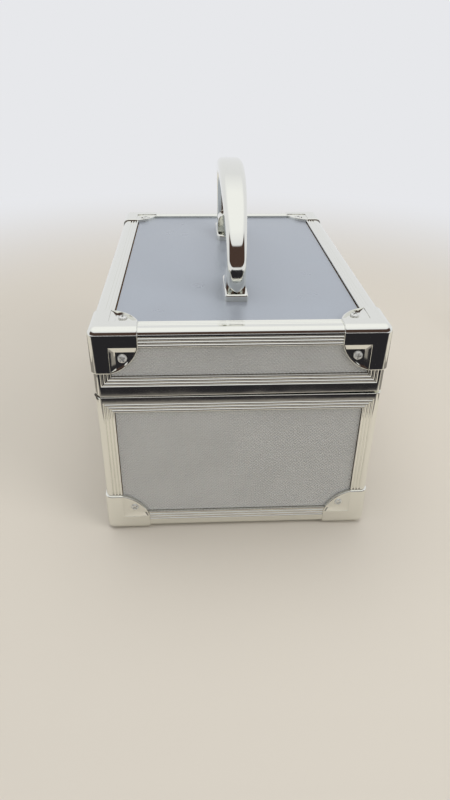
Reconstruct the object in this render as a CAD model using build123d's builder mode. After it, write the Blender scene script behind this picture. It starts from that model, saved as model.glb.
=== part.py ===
import os
from math import cos, hypot, radians, sin

from build123d import *

os.makedirs("parts", exist_ok=True)

# Main sizes of the case, in millimetres. X is its length, the hinge is at +Y, the latch at -Y,
# and Z starts at the surface that the four bottom caps stand on.
case_length = 226.0
case_width = 153.0
base_height = 91.3
lid_height = 38.8
cap_proud = 1.0

# Layers of a wall, from the outside in
frame_thickness = 2.4
panel_thickness = 1.0
wall_thickness = 3.0
lining_thickness = 1.0

# Frame strips: how wide each one is on the face where it shows
side_member = 9.4
base_top_member = 9.4
base_bottom_member = 11.8
lid_top_member = 9.8
lid_lower_member = 12.0
top_face_member = 10.9
bottom_face_member = 12.0
edge_radius = 3.5
flange_thickness = 1.4
groove_width = 0.7
groove_depth = 0.45
groove_pitch = 1.8
groove_count = 3
first_groove = 1.5

# The closed lid stands a little open towards the latch
parting_gap_back = 0.3
parting_gap_front = 1.2

# Corner caps
lid_cap_leg = 25.5
base_cap_leg = 25.5
cap_band = 10.5
cap_arc_shift = 5.2
cap_ledge = 3.0
cap_ledge_depth = 0.8
cap_floor = 0.8
cap_rim = 0.8
cap_rim_depth = 0.4
cap_screw_inset = 17.0
cap_head_radius = 2.4
cap_head_height = 1.3
cap_shank_radius = 1.2
cap_shank_length = 4.0
cross_length = 2.8
cross_width = 0.7
cross_depth = 0.7
hole_clearance = 0.05

# Piano hinge along the back
hinge_end_gap = 3.0
knuckle_radius = 1.5
knuckle_count = 21
knuckle_gap = 0.3
leaf_thickness = 0.6
leaf_height = 8.0
leaf_end_gap = 1.0
leaf_pocket_clearance = 0.1
hinge_pin_radius = 0.75
running_clearance = 0.04
knuckle_clearance = 0.3
rivet_radius = 1.2
rivet_count = 6
rivet_end_gap = 20.0

# Handle, along the length of the lid
handle_span = 146.0
handle_rise = 60.0
handle_thickness = 9.0
handle_leg_rise = 4.0
grip_width = 15.6
leg_width = 10.6
handle_rounding = 3.4
pivot_rise = 8.7
handle_pin_radius = 1.5
handle_pin_length = 14.0
handle_bore_depth = 7.0
foot_length = 36.0
foot_width = 13.0
foot_height = 4.0
foot_overhang = 1.5
post_length = 11.0
post_gap = 0.4
foot_screw_radius = 1.5
foot_screw_depth = 2.8
foot_screw_head_radius = 3.0
foot_screw_head_height = 1.6
foot_screw_offsets = (8.0, 27.0)
foot_edge = 1.0
head_clearance = 0.3
arch_steps = 16
quarter_turn = 90.0

# Hasp latch in the middle of the front
latch_width = 26.0
latch_plate_thickness = 0.8
latch_plate_height = 6.0
latch_plate_top_drop = 3.4
latch_knuckle_radius = 1.2
latch_axis_rise = 1.5
latch_pin_radius = 0.6
flap_width = 14.0
flap_length = 17.0
flap_thickness = 1.2
flap_gap = 0.3
flap_corner = 3.0
window_width = 8.2
window_height = 3.6
stud_width = 7.2
stud_height = 2.6
stud_rise = 10.4
stud_length = 2.6
keeper_height = 7.5
latch_screw_radius = 0.9
latch_screw_head_radius = 1.5
latch_screw_head_height = 0.25
latch_screw_length = 4.5
latch_screw_spread = 10.4

# Places worked out from the sizes above
half_length = case_length / 2
half_width = case_width / 2
frame_bottom = cap_proud
parting = frame_bottom + base_height
lid_top = parting + lid_height
shell_half_length = half_length - frame_thickness
shell_half_width = half_width - frame_thickness
cavity_half_length = shell_half_length - wall_thickness - lining_thickness
cavity_half_width = shell_half_width - wall_thickness - lining_thickness
shell_bottom = frame_bottom + frame_thickness
shell_top = lid_top - frame_thickness
base_wall_top = parting - flange_thickness
lid_wall_bottom = parting + parting_gap_front + flange_thickness
panel_recess = frame_thickness - panel_thickness
sheet_top = lid_top - panel_recess
hinge_y = shell_half_width + knuckle_radius
hinge_z = parting + parting_gap_back / 2
pivot_z = sheet_top + pivot_rise + panel_recess
base_window = (frame_bottom + base_bottom_member, parting - base_top_member)
lid_window = (parting + lid_lower_member, lid_top - lid_top_member)

# Each side face: its outward plane on the frame's surface, half of its width, half of its window
side_faces = {
    "right": (Plane((half_length, 0, 0), x_dir=(0, 1, 0), z_dir=(1, 0, 0)), half_width),
    "left": (Plane((-half_length, 0, 0), x_dir=(0, -1, 0), z_dir=(-1, 0, 0)), half_width),
    "back": (Plane((0, half_width, 0), x_dir=(-1, 0, 0), z_dir=(0, 1, 0)), half_length),
    "front": (Plane((0, -half_width, 0), x_dir=(1, 0, 0), z_dir=(0, -1, 0)), half_length),
}
corners = {
    "right_back": (1, 1),
    "right_front": (1, -1),
    "left_back": (-1, 1),
    "left_front": (-1, -1),
}
top_face = Plane.XY.offset(lid_top)
bottom_face = Plane((0, 0, frame_bottom), x_dir=(1, 0, 0), z_dir=(0, 0, -1))


def block(low, high, mode=Mode.ADD):
    """Add or cut a box between two opposite corners."""
    size = [b - a for a, b in zip(low, high)]
    middle = tuple((a + b) / 2 for a, b in zip(low, high))
    with Locations(middle):
        Box(*size, mode=mode)


def save(piece, name):
    """Label a finished piece and write it."""
    piece.label = name
    export_step(piece, f"parts/{name}.step")


def cut_window(plane, width, low, high):
    """Cut a flat face's window through the frame, with the flutes that run round it."""
    middle = (0, (low + high) / 2)
    with BuildSketch(plane) as opening:
        with Locations(middle):
            Rectangle(width, high - low)
    extrude(opening.sketch, amount=-frame_thickness, mode=Mode.SUBTRACT)
    for level in flute_levels():
        grow = 2 * level
        with BuildSketch(plane) as flute:
            with Locations(middle):
                Rectangle(width + grow + groove_width, high - low + grow + groove_width)
                Rectangle(width + grow - groove_width, high - low + grow - groove_width,
                          mode=Mode.SUBTRACT)
        extrude(flute.sketch, amount=-groove_depth, mode=Mode.SUBTRACT)


def screw_places(half_u, level):
    """The two cap screws of a side face, in that face's own plane."""
    reach = half_u + cap_proud - cap_screw_inset
    return [(-reach, level), (reach, level)]


def top_screw_places():
    """The four cap screws of the top or the bottom face."""
    reach_x = half_length + cap_proud - cap_screw_inset
    reach_y = half_width + cap_proud - cap_screw_inset
    return [(reach_x * side_x, reach_y * side_y) for side_x, side_y in corners.values()]


def cut_screw_holes(plane, places):
    """Holes for cap screws, through everything behind the frame's surface."""
    with BuildSketch(plane) as holes:
        with Locations(*places):
            Circle(cap_shank_radius + hole_clearance)
    extrude(holes.sketch, amount=-(frame_thickness + wall_thickness), mode=Mode.SUBTRACT)


base_screw_level = cap_screw_inset
lid_screw_level = lid_top + cap_proud - cap_screw_inset


# Cases of board that the frame and panels are fixed to
with BuildPart() as base_carcass:
    block((-shell_half_length, -shell_half_width, shell_bottom),
          (shell_half_length, shell_half_width, base_wall_top))
    block((wall_thickness - shell_half_length, wall_thickness - shell_half_width,
           shell_bottom + wall_thickness),
          (shell_half_length - wall_thickness, shell_half_width - wall_thickness, base_wall_top),
          mode=Mode.SUBTRACT)
    for side_plane, half_u in side_faces.values():
        cut_screw_holes(side_plane, screw_places(half_u, base_screw_level))
    cut_screw_holes(bottom_face, top_screw_places())

with BuildPart() as lid_carcass:
    block((-shell_half_length, -shell_half_width, lid_wall_bottom),
          (shell_half_length, shell_half_width, shell_top))
    block((wall_thickness - shell_half_length, wall_thickness - shell_half_width, lid_wall_bottom),
          (shell_half_length - wall_thickness, shell_half_width - wall_thickness,
           shell_top - wall_thickness),
          mode=Mode.SUBTRACT)
    for side_plane, half_u in side_faces.values():
        cut_screw_holes(side_plane, screw_places(half_u, lid_screw_level))
    cut_screw_holes(top_face, top_screw_places())

# Linings glued inside both halves
lining_half_length = shell_half_length - wall_thickness
lining_half_width = shell_half_width - wall_thickness
lining_floor = shell_bottom + wall_thickness
lining_ceiling = shell_top - wall_thickness

with BuildPart() as base_lining:
    block((-lining_half_length, -lining_half_width, lining_floor),
          (lining_half_length, lining_half_width, base_wall_top))
    block((-cavity_half_length, -cavity_half_width, lining_floor + lining_thickness),
          (cavity_half_length, cavity_half_width, base_wall_top), mode=Mode.SUBTRACT)
save(base_lining.part, "base_lining")

with BuildPart() as lid_lining:
    block((-lining_half_length, -lining_half_width, lid_wall_bottom),
          (lining_half_length, lining_half_width, lining_ceiling))
    block((-cavity_half_length, -cavity_half_width, lid_wall_bottom),
          (cavity_half_length, cavity_half_width, lining_ceiling - lining_thickness),
          mode=Mode.SUBTRACT)

# Embossed side panels and the smooth sheets above and below
for face_name, (side_plane, half_u) in side_faces.items():
    for half_name, (low, high), level in (("base", base_window, base_screw_level),
                                          ("lid", lid_window, lid_screw_level)):
        with BuildPart() as panel:
            with BuildSketch(side_plane.offset(-frame_thickness)):
                with Locations((0, (low + high) / 2)):
                    Rectangle(2 * (half_u - side_member), high - low)
            extrude(amount=panel_thickness)
            cut_screw_holes(side_plane, screw_places(half_u, level))
        save(panel.part, f"{half_name}_{face_name}_panel")

with BuildPart() as lid_top_sheet:
    with BuildSketch(top_face.offset(-frame_thickness)):
        Rectangle(case_length - 2 * top_face_member, case_width - 2 * top_face_member)
    extrude(amount=panel_thickness)
    cut_screw_holes(top_face, top_screw_places())

with BuildPart() as base_bottom_sheet:
    with BuildSketch(bottom_face.offset(-frame_thickness)):
        Rectangle(case_length - 2 * bottom_face_member, case_width - 2 * bottom_face_member)
    extrude(amount=panel_thickness)
    cut_screw_holes(bottom_face, top_screw_places())
save(base_bottom_sheet.part, "base_bottom_sheet")

# The chromed frame of each half: a rim above, a rim below and four corner posts
def flute_levels():
    """How far each flute lies from the edge of the window that it runs round."""
    return [first_groove + number * groove_pitch for number in range(groove_count)]


def cut_side_flutes(window_edge, direction):
    """Flutes along all four sides of a rim, from its window's edge outwards."""
    for side_plane, half_u in side_faces.values():
        with BuildSketch(side_plane) as flutes:
            with Locations(*[(0, window_edge + direction * level) for level in flute_levels()]):
                Rectangle(2 * half_u, groove_width)
        extrude(flutes.sketch, amount=-groove_depth, mode=Mode.SUBTRACT)


def rim_block(low, high, rounded_face=None):
    """A rim's outer block with rounded upright edges, and a rounded outline on one face."""
    with BuildPart() as rim:
        block((-half_length, -half_width, low), (half_length, half_width, high))
        fillet(rim.edges().filter_by(Axis.Z), radius=edge_radius)
        if rounded_face is not None:
            fillet(rim.faces().sort_by(Axis.Z)[rounded_face].edges(), radius=edge_radius)
    return rim.part


def post_wedge(level, direction, side_x, side_y):
    """The space of one corner's post where it meets a rim in a mitre on both faces."""
    reach = 2 * side_member
    tip = level - direction * side_member
    end = level + direction * reach
    with BuildPart() as wedge:
        with BuildSketch(Plane.XZ):
            with BuildLine():
                Polyline((side_x * (half_length + side_member), tip),
                         (side_x * (half_length - reach), end),
                         (side_x * (half_length + side_member), end), close=True)
            make_face()
        extrude(amount=case_width, both=True)
        with BuildSketch(Plane.YZ):
            with BuildLine():
                Polyline((side_y * (half_width + side_member), tip),
                         (side_y * (half_width - reach), end),
                         (side_y * (half_width + side_member), end), close=True)
            make_face()
        extrude(amount=case_length, both=True, mode=Mode.INTERSECT)
    return wedge.part


def corner_copy(piece, side_x, side_y):
    """The piece made for the right back corner, mirrored to another corner."""
    if side_x < 0:
        piece = mirror(piece, about=Plane.YZ)
    if side_y < 0:
        piece = mirror(piece, about=Plane.XZ)
    return piece


def cut_post_wedges(level, direction):
    """Mitre all four corners of a rim for the posts."""
    for side_x, side_y in corners.values():
        add(post_wedge(level, direction, side_x, side_y), mode=Mode.SUBTRACT)


def rounded_corner(reach):
    """The frame's rounded top corner, with its three flat surfaces at zero."""
    with BuildPart() as core:
        block((-2 * reach, -2 * reach, -2 * reach), (0, 0, 0))
        corner = core.edges().filter_by(lambda e: min(*tuple(e @ 0.5)) < -reach / 2
                                        and sorted(tuple(e @ 0.5))[1] > -reach / 2)
        fillet(corner, radius=edge_radius)
    return core.part


def to_lid_corner(piece):
    """From a corner drawn at zero to the right back top corner of the lid."""
    return Location((half_length, half_width, lid_top)) * piece


def to_base_corner(piece):
    """From a corner drawn at zero to the right back bottom corner of the base."""
    return Location((half_length, half_width, frame_bottom)) * mirror(piece, about=Plane.XY)


def corner_post(mitre_low, mitre_high, corner):
    """The right back post: an angle strip, fluted on both faces and mitred at both ends."""
    with BuildPart() as post:
        block((half_length - side_member, half_width - side_member, mitre_low),
              (half_length, half_width, mitre_high))
        fillet(post.edges().filter_by(Axis.Z).sort_by(Axis.X)[-2:].sort_by(Axis.Y)[-1],
               radius=edge_radius)
        block((0, 0, mitre_low), (shell_half_length, shell_half_width, mitre_high), mode=Mode.SUBTRACT)
        for level in flute_levels():
            flute_x = half_length - side_member + level
            flute_y = half_width - side_member + level
            block((flute_x - groove_width / 2, half_width - groove_depth, mitre_low),
                  (flute_x + groove_width / 2, half_width, mitre_high), mode=Mode.SUBTRACT)
            block((half_length - groove_depth, flute_y - groove_width / 2, mitre_low),
                  (half_length, flute_y + groove_width / 2, mitre_high), mode=Mode.SUBTRACT)
        for normal in ((-1, 0, 1), (0, -1, 1)):
            split(bisect_by=Plane((half_length, half_width, mitre_high), z_dir=normal),
                  keep=Keep.BOTTOM)
        for normal in ((1, 0, 1), (0, 1, 1)):
            split(bisect_by=Plane((half_length, half_width, mitre_low), z_dir=normal),
                  keep=Keep.TOP)
        add(corner, mode=Mode.INTERSECT)
    return post.part


base_mitre = (frame_bottom + base_bottom_member - side_member,
              parting - base_top_member + side_member)
lid_mitre = (parting + lid_lower_member - side_member, lid_top - lid_top_member + side_member)

with BuildPart() as base_bottom_rim:
    add(rim_block(frame_bottom, base_window[0], rounded_face=0))
    block((-shell_half_length, -shell_half_width, shell_bottom),
          (shell_half_length, shell_half_width, base_window[0]), mode=Mode.SUBTRACT)
    cut_side_flutes(base_window[0], -1)
    cut_window(bottom_face, case_length - 2 * bottom_face_member,
               bottom_face_member - half_width, half_width - bottom_face_member)
    cut_post_wedges(base_mitre[0], 1)
save(base_bottom_rim.part, "base_bottom_rim")

with BuildPart() as base_rim_blank:
    add(rim_block(base_window[1], parting))
    block((-shell_half_length, -shell_half_width, base_window[1]),
          (shell_half_length, shell_half_width, base_wall_top), mode=Mode.SUBTRACT)
    block((-cavity_half_length, -cavity_half_width, base_wall_top),
          (cavity_half_length, cavity_half_width, parting), mode=Mode.SUBTRACT)
    cut_side_flutes(base_window[1], 1)
    cut_post_wedges(base_mitre[1], -1)

with BuildPart() as lid_rim_blank:
    add(rim_block(parting, lid_window[0]))
    block((-shell_half_length, -shell_half_width, lid_wall_bottom),
          (shell_half_length, shell_half_width, lid_window[0]), mode=Mode.SUBTRACT)
    block((-cavity_half_length, -cavity_half_width, parting),
          (cavity_half_length, cavity_half_width, lid_wall_bottom), mode=Mode.SUBTRACT)
    cut_side_flutes(lid_window[0], -1)
    cut_post_wedges(lid_mitre[0], 1)
    with BuildSketch(Plane.YZ.offset(-half_length)):
        with BuildLine():
            Polyline((half_width, parting), (half_width, parting + parting_gap_back),
                     (-half_width, parting + parting_gap_front), (-half_width, parting),
                     close=True)
        make_face()
    extrude(amount=case_length, mode=Mode.SUBTRACT)

with BuildPart() as lid_top_rim:
    add(rim_block(lid_window[1], lid_top, rounded_face=-1))
    block((-shell_half_length, -shell_half_width, lid_window[1]),
          (shell_half_length, shell_half_width, shell_top), mode=Mode.SUBTRACT)
    cut_side_flutes(lid_window[1], 1)
    cut_window(top_face, case_length - 2 * top_face_member,
               top_face_member - half_width, half_width - top_face_member)
    cut_post_wedges(lid_mitre[1], -1)
save(lid_top_rim.part, "lid_top_rim")

base_corner = to_base_corner(rounded_corner(case_width))
lid_corner = to_lid_corner(rounded_corner(case_width))
for half_name, mitre, corner in (("base", base_mitre, base_corner), ("lid", lid_mitre, lid_corner)):
    post = corner_post(*mitre, corner)
    for corner_name, (side_x, side_y) in corners.items():
        save(corner_copy(post, side_x, side_y), f"{half_name}_post_{corner_name}")

# Hinge: two leaves behind the rims, their knuckles in turn along one pin
hinge_length = case_length - 2 * hinge_end_gap
rivet_pitch = (hinge_length - 2 * rivet_end_gap) / (rivet_count - 1)
knuckle_pitch = hinge_length / knuckle_count
knuckle_length = knuckle_pitch - knuckle_gap
groove_radius = knuckle_radius + knuckle_clearance
hinge_start = -hinge_length / 2
leaf_far_reach = half_length - side_member - leaf_end_gap
rivet_places = [rivet_pitch * (number - (rivet_count - 1) / 2) for number in range(rivet_count)]


def rivet_level(direction):
    """Height of one leaf's row of rivets."""
    return hinge_z + direction * (groove_radius + leaf_height) / 2


def leaf_outline(direction, clearance):
    """A leaf's outline seen from behind: its ends slope in to clear the corner posts."""
    near = hinge_z + direction * groove_radius
    far = hinge_z + direction * (leaf_height + clearance)
    with BuildSketch(Plane.XZ.offset(-shell_half_width)) as outline:
        with BuildLine():
            Polyline((-hinge_length / 2 - clearance, near), (-leaf_far_reach - clearance, far),
                     (leaf_far_reach + clearance, far), (hinge_length / 2 + clearance, near),
                     close=True)
        make_face()
    return outline.sketch


def hinge_leaf(first_knuckle, direction):
    """One leaf: a flat strip behind the rim with every other knuckle on its edge."""
    with BuildPart() as leaf:
        near = hinge_z + direction * groove_radius
        extrude(leaf_outline(direction, 0), amount=-leaf_thickness)
        for number in range(first_knuckle, knuckle_count, 2):
            start = hinge_start + number * knuckle_pitch + knuckle_gap / 2
            block((start, shell_half_width, min(hinge_z, near)),
                  (start + knuckle_length, shell_half_width + leaf_thickness, max(hinge_z, near)))
            with BuildSketch(Plane((start, hinge_y, hinge_z), x_dir=(0, 1, 0), z_dir=(1, 0, 0))):
                Circle(knuckle_radius)
            extrude(amount=knuckle_length)
        with BuildSketch(Plane((hinge_start, hinge_y, hinge_z), x_dir=(0, 1, 0), z_dir=(1, 0, 0))):
            Circle(hinge_pin_radius + running_clearance)
        extrude(amount=hinge_length, mode=Mode.SUBTRACT)
        with BuildSketch(Plane.XZ.offset(-shell_half_width)):
            with Locations(*[(x, rivet_level(direction)) for x in rivet_places]):
                Circle(rivet_radius)
        extrude(amount=-leaf_thickness, mode=Mode.SUBTRACT)
    return leaf.part


def hinge_rivets(direction):
    """The rivets that hold one leaf to the board behind it."""
    with BuildPart() as rivets:
        with BuildSketch(Plane.XZ.offset(-shell_half_width - leaf_thickness)):
            with Locations(*[(x, rivet_level(direction)) for x in rivet_places]):
                Circle(rivet_radius)
        extrude(amount=leaf_thickness + wall_thickness)
    return rivets.part


def cut_hinge_space(direction):
    """Room in a rim for the knuckles, out to its ends, and for the leaf behind it."""
    reach = hinge_length / 2 + leaf_pocket_clearance
    start = Plane((-half_length, hinge_y, hinge_z), x_dir=(0, 1, 0), z_dir=(1, 0, 0))
    with BuildSketch(start) as knuckle_room:
        Circle(groove_radius)
    extrude(knuckle_room.sketch, amount=case_length, mode=Mode.SUBTRACT)
    extrude(leaf_outline(direction, leaf_pocket_clearance), amount=-leaf_thickness,
            mode=Mode.SUBTRACT)
    block((-reach, shell_half_width, min(hinge_z, hinge_z + direction * groove_radius)),
          (reach, shell_half_width + leaf_thickness,
           max(hinge_z, hinge_z + direction * groove_radius)), mode=Mode.SUBTRACT)


def cut_rivet_holes(direction):
    """Holes in the board for one leaf's rivets."""
    with BuildSketch(Plane.XZ.offset(-shell_half_width)) as holes:
        with Locations(*[(x, rivet_level(direction)) for x in rivet_places]):
            Circle(rivet_radius)
    extrude(holes.sketch, amount=wall_thickness, mode=Mode.SUBTRACT)


save(hinge_leaf(0, -1), "hinge_base_leaf")
save(hinge_leaf(1, 1), "hinge_lid_leaf")
save(hinge_rivets(-1), "hinge_base_rivets")
save(hinge_rivets(1), "hinge_lid_rivets")
with BuildPart() as hinge_pin:
    with BuildSketch(Plane((hinge_start, hinge_y, hinge_z), x_dir=(0, 1, 0), z_dir=(1, 0, 0))):
        Circle(hinge_pin_radius)
    extrude(amount=hinge_length)
save(hinge_pin.part, "hinge_pin")

# Latch: a hasp hinged on the base rim, hanging open, whose window fits over the lid's stud
latch_axis_y = -half_width - latch_plate_thickness - flap_gap - flap_thickness / 2
latch_axis_z = parting - latch_plate_top_drop + latch_axis_rise
plate_front = -half_width - latch_plate_thickness
latch_plate_top = parting - latch_plate_top_drop
stud_z = latch_axis_z + stud_rise
latch_screw_z = latch_plate_top - latch_plate_height / 2
latch_side_length = (latch_width - flap_width) / 2 - flap_gap


def latch_cylinder(start_x, length, radius, mode=Mode.ADD):
    """A round length on the latch's own axis."""
    plane = Plane((start_x, latch_axis_y, latch_axis_z), x_dir=(0, 1, 0), z_dir=(1, 0, 0))
    with BuildSketch(plane) as round_end:
        Circle(radius)
    extrude(round_end.sketch, amount=length, mode=mode)


def latch_screws(level):
    """A pair of small countersunk screws beside the hasp."""
    with BuildPart() as screws:
        for side in (-1, 1):
            with BuildSketch(Plane.XZ.offset(-plate_front)):
                with Locations((side * latch_screw_spread, level)):
                    Circle(latch_screw_head_radius)
            extrude(amount=latch_screw_head_height)
            with BuildSketch(Plane.XZ.offset(-plate_front)):
                with Locations((side * latch_screw_spread, level)):
                    Circle(latch_screw_radius)
            extrude(amount=-latch_screw_length)
    return screws.part


def cut_latch_screw_holes(level):
    """Holes for one pair of latch screws through everything behind the plate's front."""
    with BuildSketch(Plane.XZ.offset(-plate_front)) as holes:
        with Locations(*[(side * latch_screw_spread, level) for side in (-1, 1)]):
            Circle(latch_screw_radius)
    extrude(holes.sketch, amount=-latch_screw_length, mode=Mode.SUBTRACT)


with BuildPart() as latch_base_plate:
    block((-latch_width / 2, plate_front, latch_plate_top - latch_plate_height),
          (latch_width / 2, -half_width, latch_plate_top))
    for start_x in (-latch_width / 2, latch_width / 2 - latch_side_length):
        block((start_x, plate_front, latch_plate_top),
              (start_x + latch_side_length, -half_width, latch_axis_z))
        block((start_x, latch_axis_y, latch_axis_z - latch_knuckle_radius),
              (start_x + latch_side_length, plate_front, latch_axis_z))
        latch_cylinder(start_x, latch_side_length, latch_knuckle_radius)
    latch_cylinder(-latch_width / 2, latch_width, latch_pin_radius, mode=Mode.SUBTRACT)
    cut_latch_screw_holes(latch_screw_z)
save(latch_base_plate.part, "latch_base_plate")

with BuildPart() as latch_flap:
    flap_low = latch_axis_z - flap_length
    with BuildSketch(Plane.XZ.offset(-latch_axis_y + flap_thickness / 2)):
        with Locations((0, (flap_low + latch_axis_z) / 2)):
            Rectangle(flap_width, flap_length)
        fillet(vertices().group_by(Axis.Y)[0], radius=flap_corner)
        with Locations((0, latch_axis_z - stud_rise)):
            Rectangle(window_width, window_height, mode=Mode.SUBTRACT)
    extrude(amount=-flap_thickness)
    latch_cylinder(-flap_width / 2, flap_width, latch_knuckle_radius)
    latch_cylinder(-flap_width / 2, flap_width, latch_pin_radius + running_clearance,
                   mode=Mode.SUBTRACT)
save(latch_flap.part, "latch_flap")

with BuildPart() as latch_pin:
    latch_cylinder(-latch_width / 2, latch_width, latch_pin_radius)
save(latch_pin.part, "latch_pin")

with BuildPart() as latch_keeper:
    block((-latch_width / 2, plate_front, stud_z - keeper_height / 2),
          (latch_width / 2, -half_width, stud_z + keeper_height / 2))
    with BuildSketch(Plane.XZ.offset(-plate_front)):
        with Locations((0, stud_z)):
            SlotOverall(stud_width, stud_height)
    extrude(amount=stud_length)
    cut_latch_screw_holes(stud_z)
save(latch_keeper.part, "latch_keeper")
save(latch_screws(latch_screw_z), "latch_base_screws")
save(latch_screws(stud_z), "latch_keeper_screws")

# Rims finished with the room that the hinge and the latch screws need
with BuildPart() as base_top_rim:
    add(base_rim_blank.part)
    cut_hinge_space(-1)
    cut_latch_screw_holes(latch_screw_z)
save(base_top_rim.part, "base_top_rim")

with BuildPart() as lid_lower_rim:
    add(lid_rim_blank.part)
    cut_hinge_space(1)
    cut_latch_screw_holes(stud_z)
save(lid_lower_rim.part, "lid_lower_rim")

with BuildPart() as base_board:
    add(base_carcass.part)
    cut_rivet_holes(-1)
    cut_latch_screw_holes(latch_screw_z)
save(base_board.part, "base_carcass")

# Corner caps, drawn at the right back top corner with its frame surfaces at zero
cap_recess_start = cap_band - cap_proud
cap_corner = [
    Plane((0, 0, 0), x_dir=(0, 1, 0), z_dir=(1, 0, 0)),
    Plane((0, 0, 0), x_dir=(0, 0, 1), z_dir=(0, 1, 0)),
    Plane((0, 0, 0), x_dir=(1, 0, 0), z_dir=(0, 0, 1)),
]


def cut_cap_quarter(plane, radius, inset, depth):
    """Recess the disc inside a cap's band, its straight sides drawn in by the inset."""
    start = -cap_recess_start
    centre = start + cap_arc_shift
    with BuildSketch(plane) as quarter:
        with Locations((centre, centre)):
            Circle(radius)
        with Locations((start - inset, start - inset)):
            Rectangle(radius, radius, align=(Align.MAX, Align.MAX), mode=Mode.INTERSECT)
    extrude(quarter.sketch, amount=-depth, mode=Mode.SUBTRACT)


def corner_cap(leg, level_member, face_member):
    """A moulded cap: three bands, and on each face a recess behind a flat arc with its screw."""
    reach = leg - cap_proud
    arc_reach = reach - cap_recess_start
    arc_centre = cap_arc_shift - cap_recess_start
    arc_radius = hypot(arc_reach + cap_arc_shift, cap_arc_shift)
    members = ((side_member, level_member), (level_member, side_member),
               (face_member, face_member))
    inset = cap_screw_inset - cap_proud
    with BuildPart() as cap:
        block((-reach, -reach, -reach), (cap_proud, cap_proud, cap_proud))
        outer = cap.edges().filter_by(lambda e: min(*tuple(e @ 0.5)) > -reach / 2 - cap_proud
                                      and sorted(tuple(e @ 0.5))[1] > 0)
        fillet(outer, radius=edge_radius + cap_proud)
        add(rounded_corner(reach), mode=Mode.SUBTRACT)
        for plane, (member_u, member_v) in zip(cap_corner, members):
            with BuildSketch(plane.offset(-panel_recess)):
                with Locations((-reach, -reach)):
                    Rectangle(reach - member_u, reach - member_v, align=(Align.MIN, Align.MIN))
            extrude(amount=panel_recess)
        for plane in cap_corner:
            with BuildSketch(plane.offset(cap_proud)):
                with Locations((-reach, -reach)):
                    Rectangle(arc_reach, arc_reach, align=(Align.MIN, Align.MIN))
                with Locations((arc_centre, arc_centre)):
                    Circle(arc_radius, mode=Mode.SUBTRACT)
            extrude(amount=-(cap_proud + panel_recess), mode=Mode.SUBTRACT)
            outer_plane = plane.offset(cap_proud)
            cut_cap_quarter(outer_plane, arc_radius, 0, cap_rim_depth)
            cut_cap_quarter(outer_plane, arc_radius - cap_rim, 0, cap_ledge_depth)
            cut_cap_quarter(outer_plane, arc_radius - cap_rim, cap_ledge,
                            cap_proud + panel_recess - cap_floor)
            with BuildSketch(outer_plane):
                with Locations((-inset, -inset)):
                    Circle(cap_shank_radius + hole_clearance)
            extrude(amount=-(cap_proud + panel_recess), mode=Mode.SUBTRACT)
    return cap.part


def cap_screws():
    """The three pan head screws of one cap."""
    inset = cap_screw_inset - cap_proud
    floor_level = cap_floor - panel_recess
    with BuildPart() as screws:
        for plane in cap_corner:
            with BuildSketch(plane.offset(floor_level)):
                with Locations((-inset, -inset)):
                    Circle(cap_head_radius)
            extrude(amount=cap_head_height)
            with BuildSketch(plane.offset(floor_level)):
                with Locations((-inset, -inset)):
                    Circle(cap_shank_radius)
            extrude(amount=-cap_shank_length)
            with BuildSketch(plane.offset(floor_level + cap_head_height)):
                with Locations((-inset, -inset)):
                    Rectangle(cross_length, cross_width)
                    Rectangle(cross_width, cross_length)
            extrude(amount=-cross_depth, mode=Mode.SUBTRACT)
    return screws.part


lid_cap = to_lid_corner(corner_cap(lid_cap_leg, lid_top_member, top_face_member))
base_cap = to_base_corner(corner_cap(base_cap_leg, base_bottom_member, bottom_face_member))
for corner_name, (side_x, side_y) in corners.items():
    save(corner_copy(lid_cap, side_x, side_y), f"lid_cap_{corner_name}")
    save(corner_copy(base_cap, side_x, side_y), f"base_cap_{corner_name}")
for half_name, corner_screws in (("lid", to_lid_corner(cap_screws())),
                                 ("base", to_base_corner(cap_screws()))):
    with BuildPart() as screw_group:
        for side_x, side_y in corners.values():
            add(corner_copy(corner_screws, side_x, side_y))
    save(screw_group.part, f"{half_name}_cap_screws")

# Handle: an arch whose legs turn sideways on two pins
leg_outer = handle_span / 2
leg_inner = leg_outer - handle_thickness
handle_top = lid_top + handle_rise
foot_outer = leg_outer + foot_overhang
foot_top = sheet_top + foot_height
post_outer = leg_inner - post_gap
arch_half_span = leg_outer - handle_thickness / 2
arch_start = pivot_z + handle_leg_rise
arch_height = handle_top - handle_thickness / 2 - arch_start


def leg_lug(start_x):
    """The round end of a leg, about the handle's axis."""
    with BuildPart() as lug:
        with BuildSketch(Plane((start_x, 0, pivot_z), x_dir=(0, 1, 0), z_dir=(1, 0, 0))):
            Circle(leg_width / 2)
        extrude(amount=handle_thickness)
        fillet(lug.edges().filter_by(GeomType.CIRCLE), radius=handle_rounding)
    return lug.part


def arch_stations():
    """Points along the half ellipse from leg to leg, each with its direction in XZ."""
    turns = [2 * quarter_turn * step / arch_steps for step in range(arch_steps + 1)]
    return [((arch_half_span * cos(radians(turn)), arch_start + arch_height * sin(radians(turn))),
             (-arch_half_span * sin(radians(turn)), 0, arch_height * cos(radians(turn))))
            for turn in turns]


def arch_width(x):
    """Width of the handle at a distance along it: full at the top, narrow at the legs."""
    return leg_width + (grip_width - leg_width) * (1 - (x / arch_half_span) ** 2)


with BuildPart() as arch:
    for (x, z), direction in arch_stations():
        with BuildSketch(Plane((x, 0, z), x_dir=(0, 1, 0), z_dir=direction)):
            RectangleRounded(arch_width(x), handle_thickness, handle_rounding)
    loft()

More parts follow.
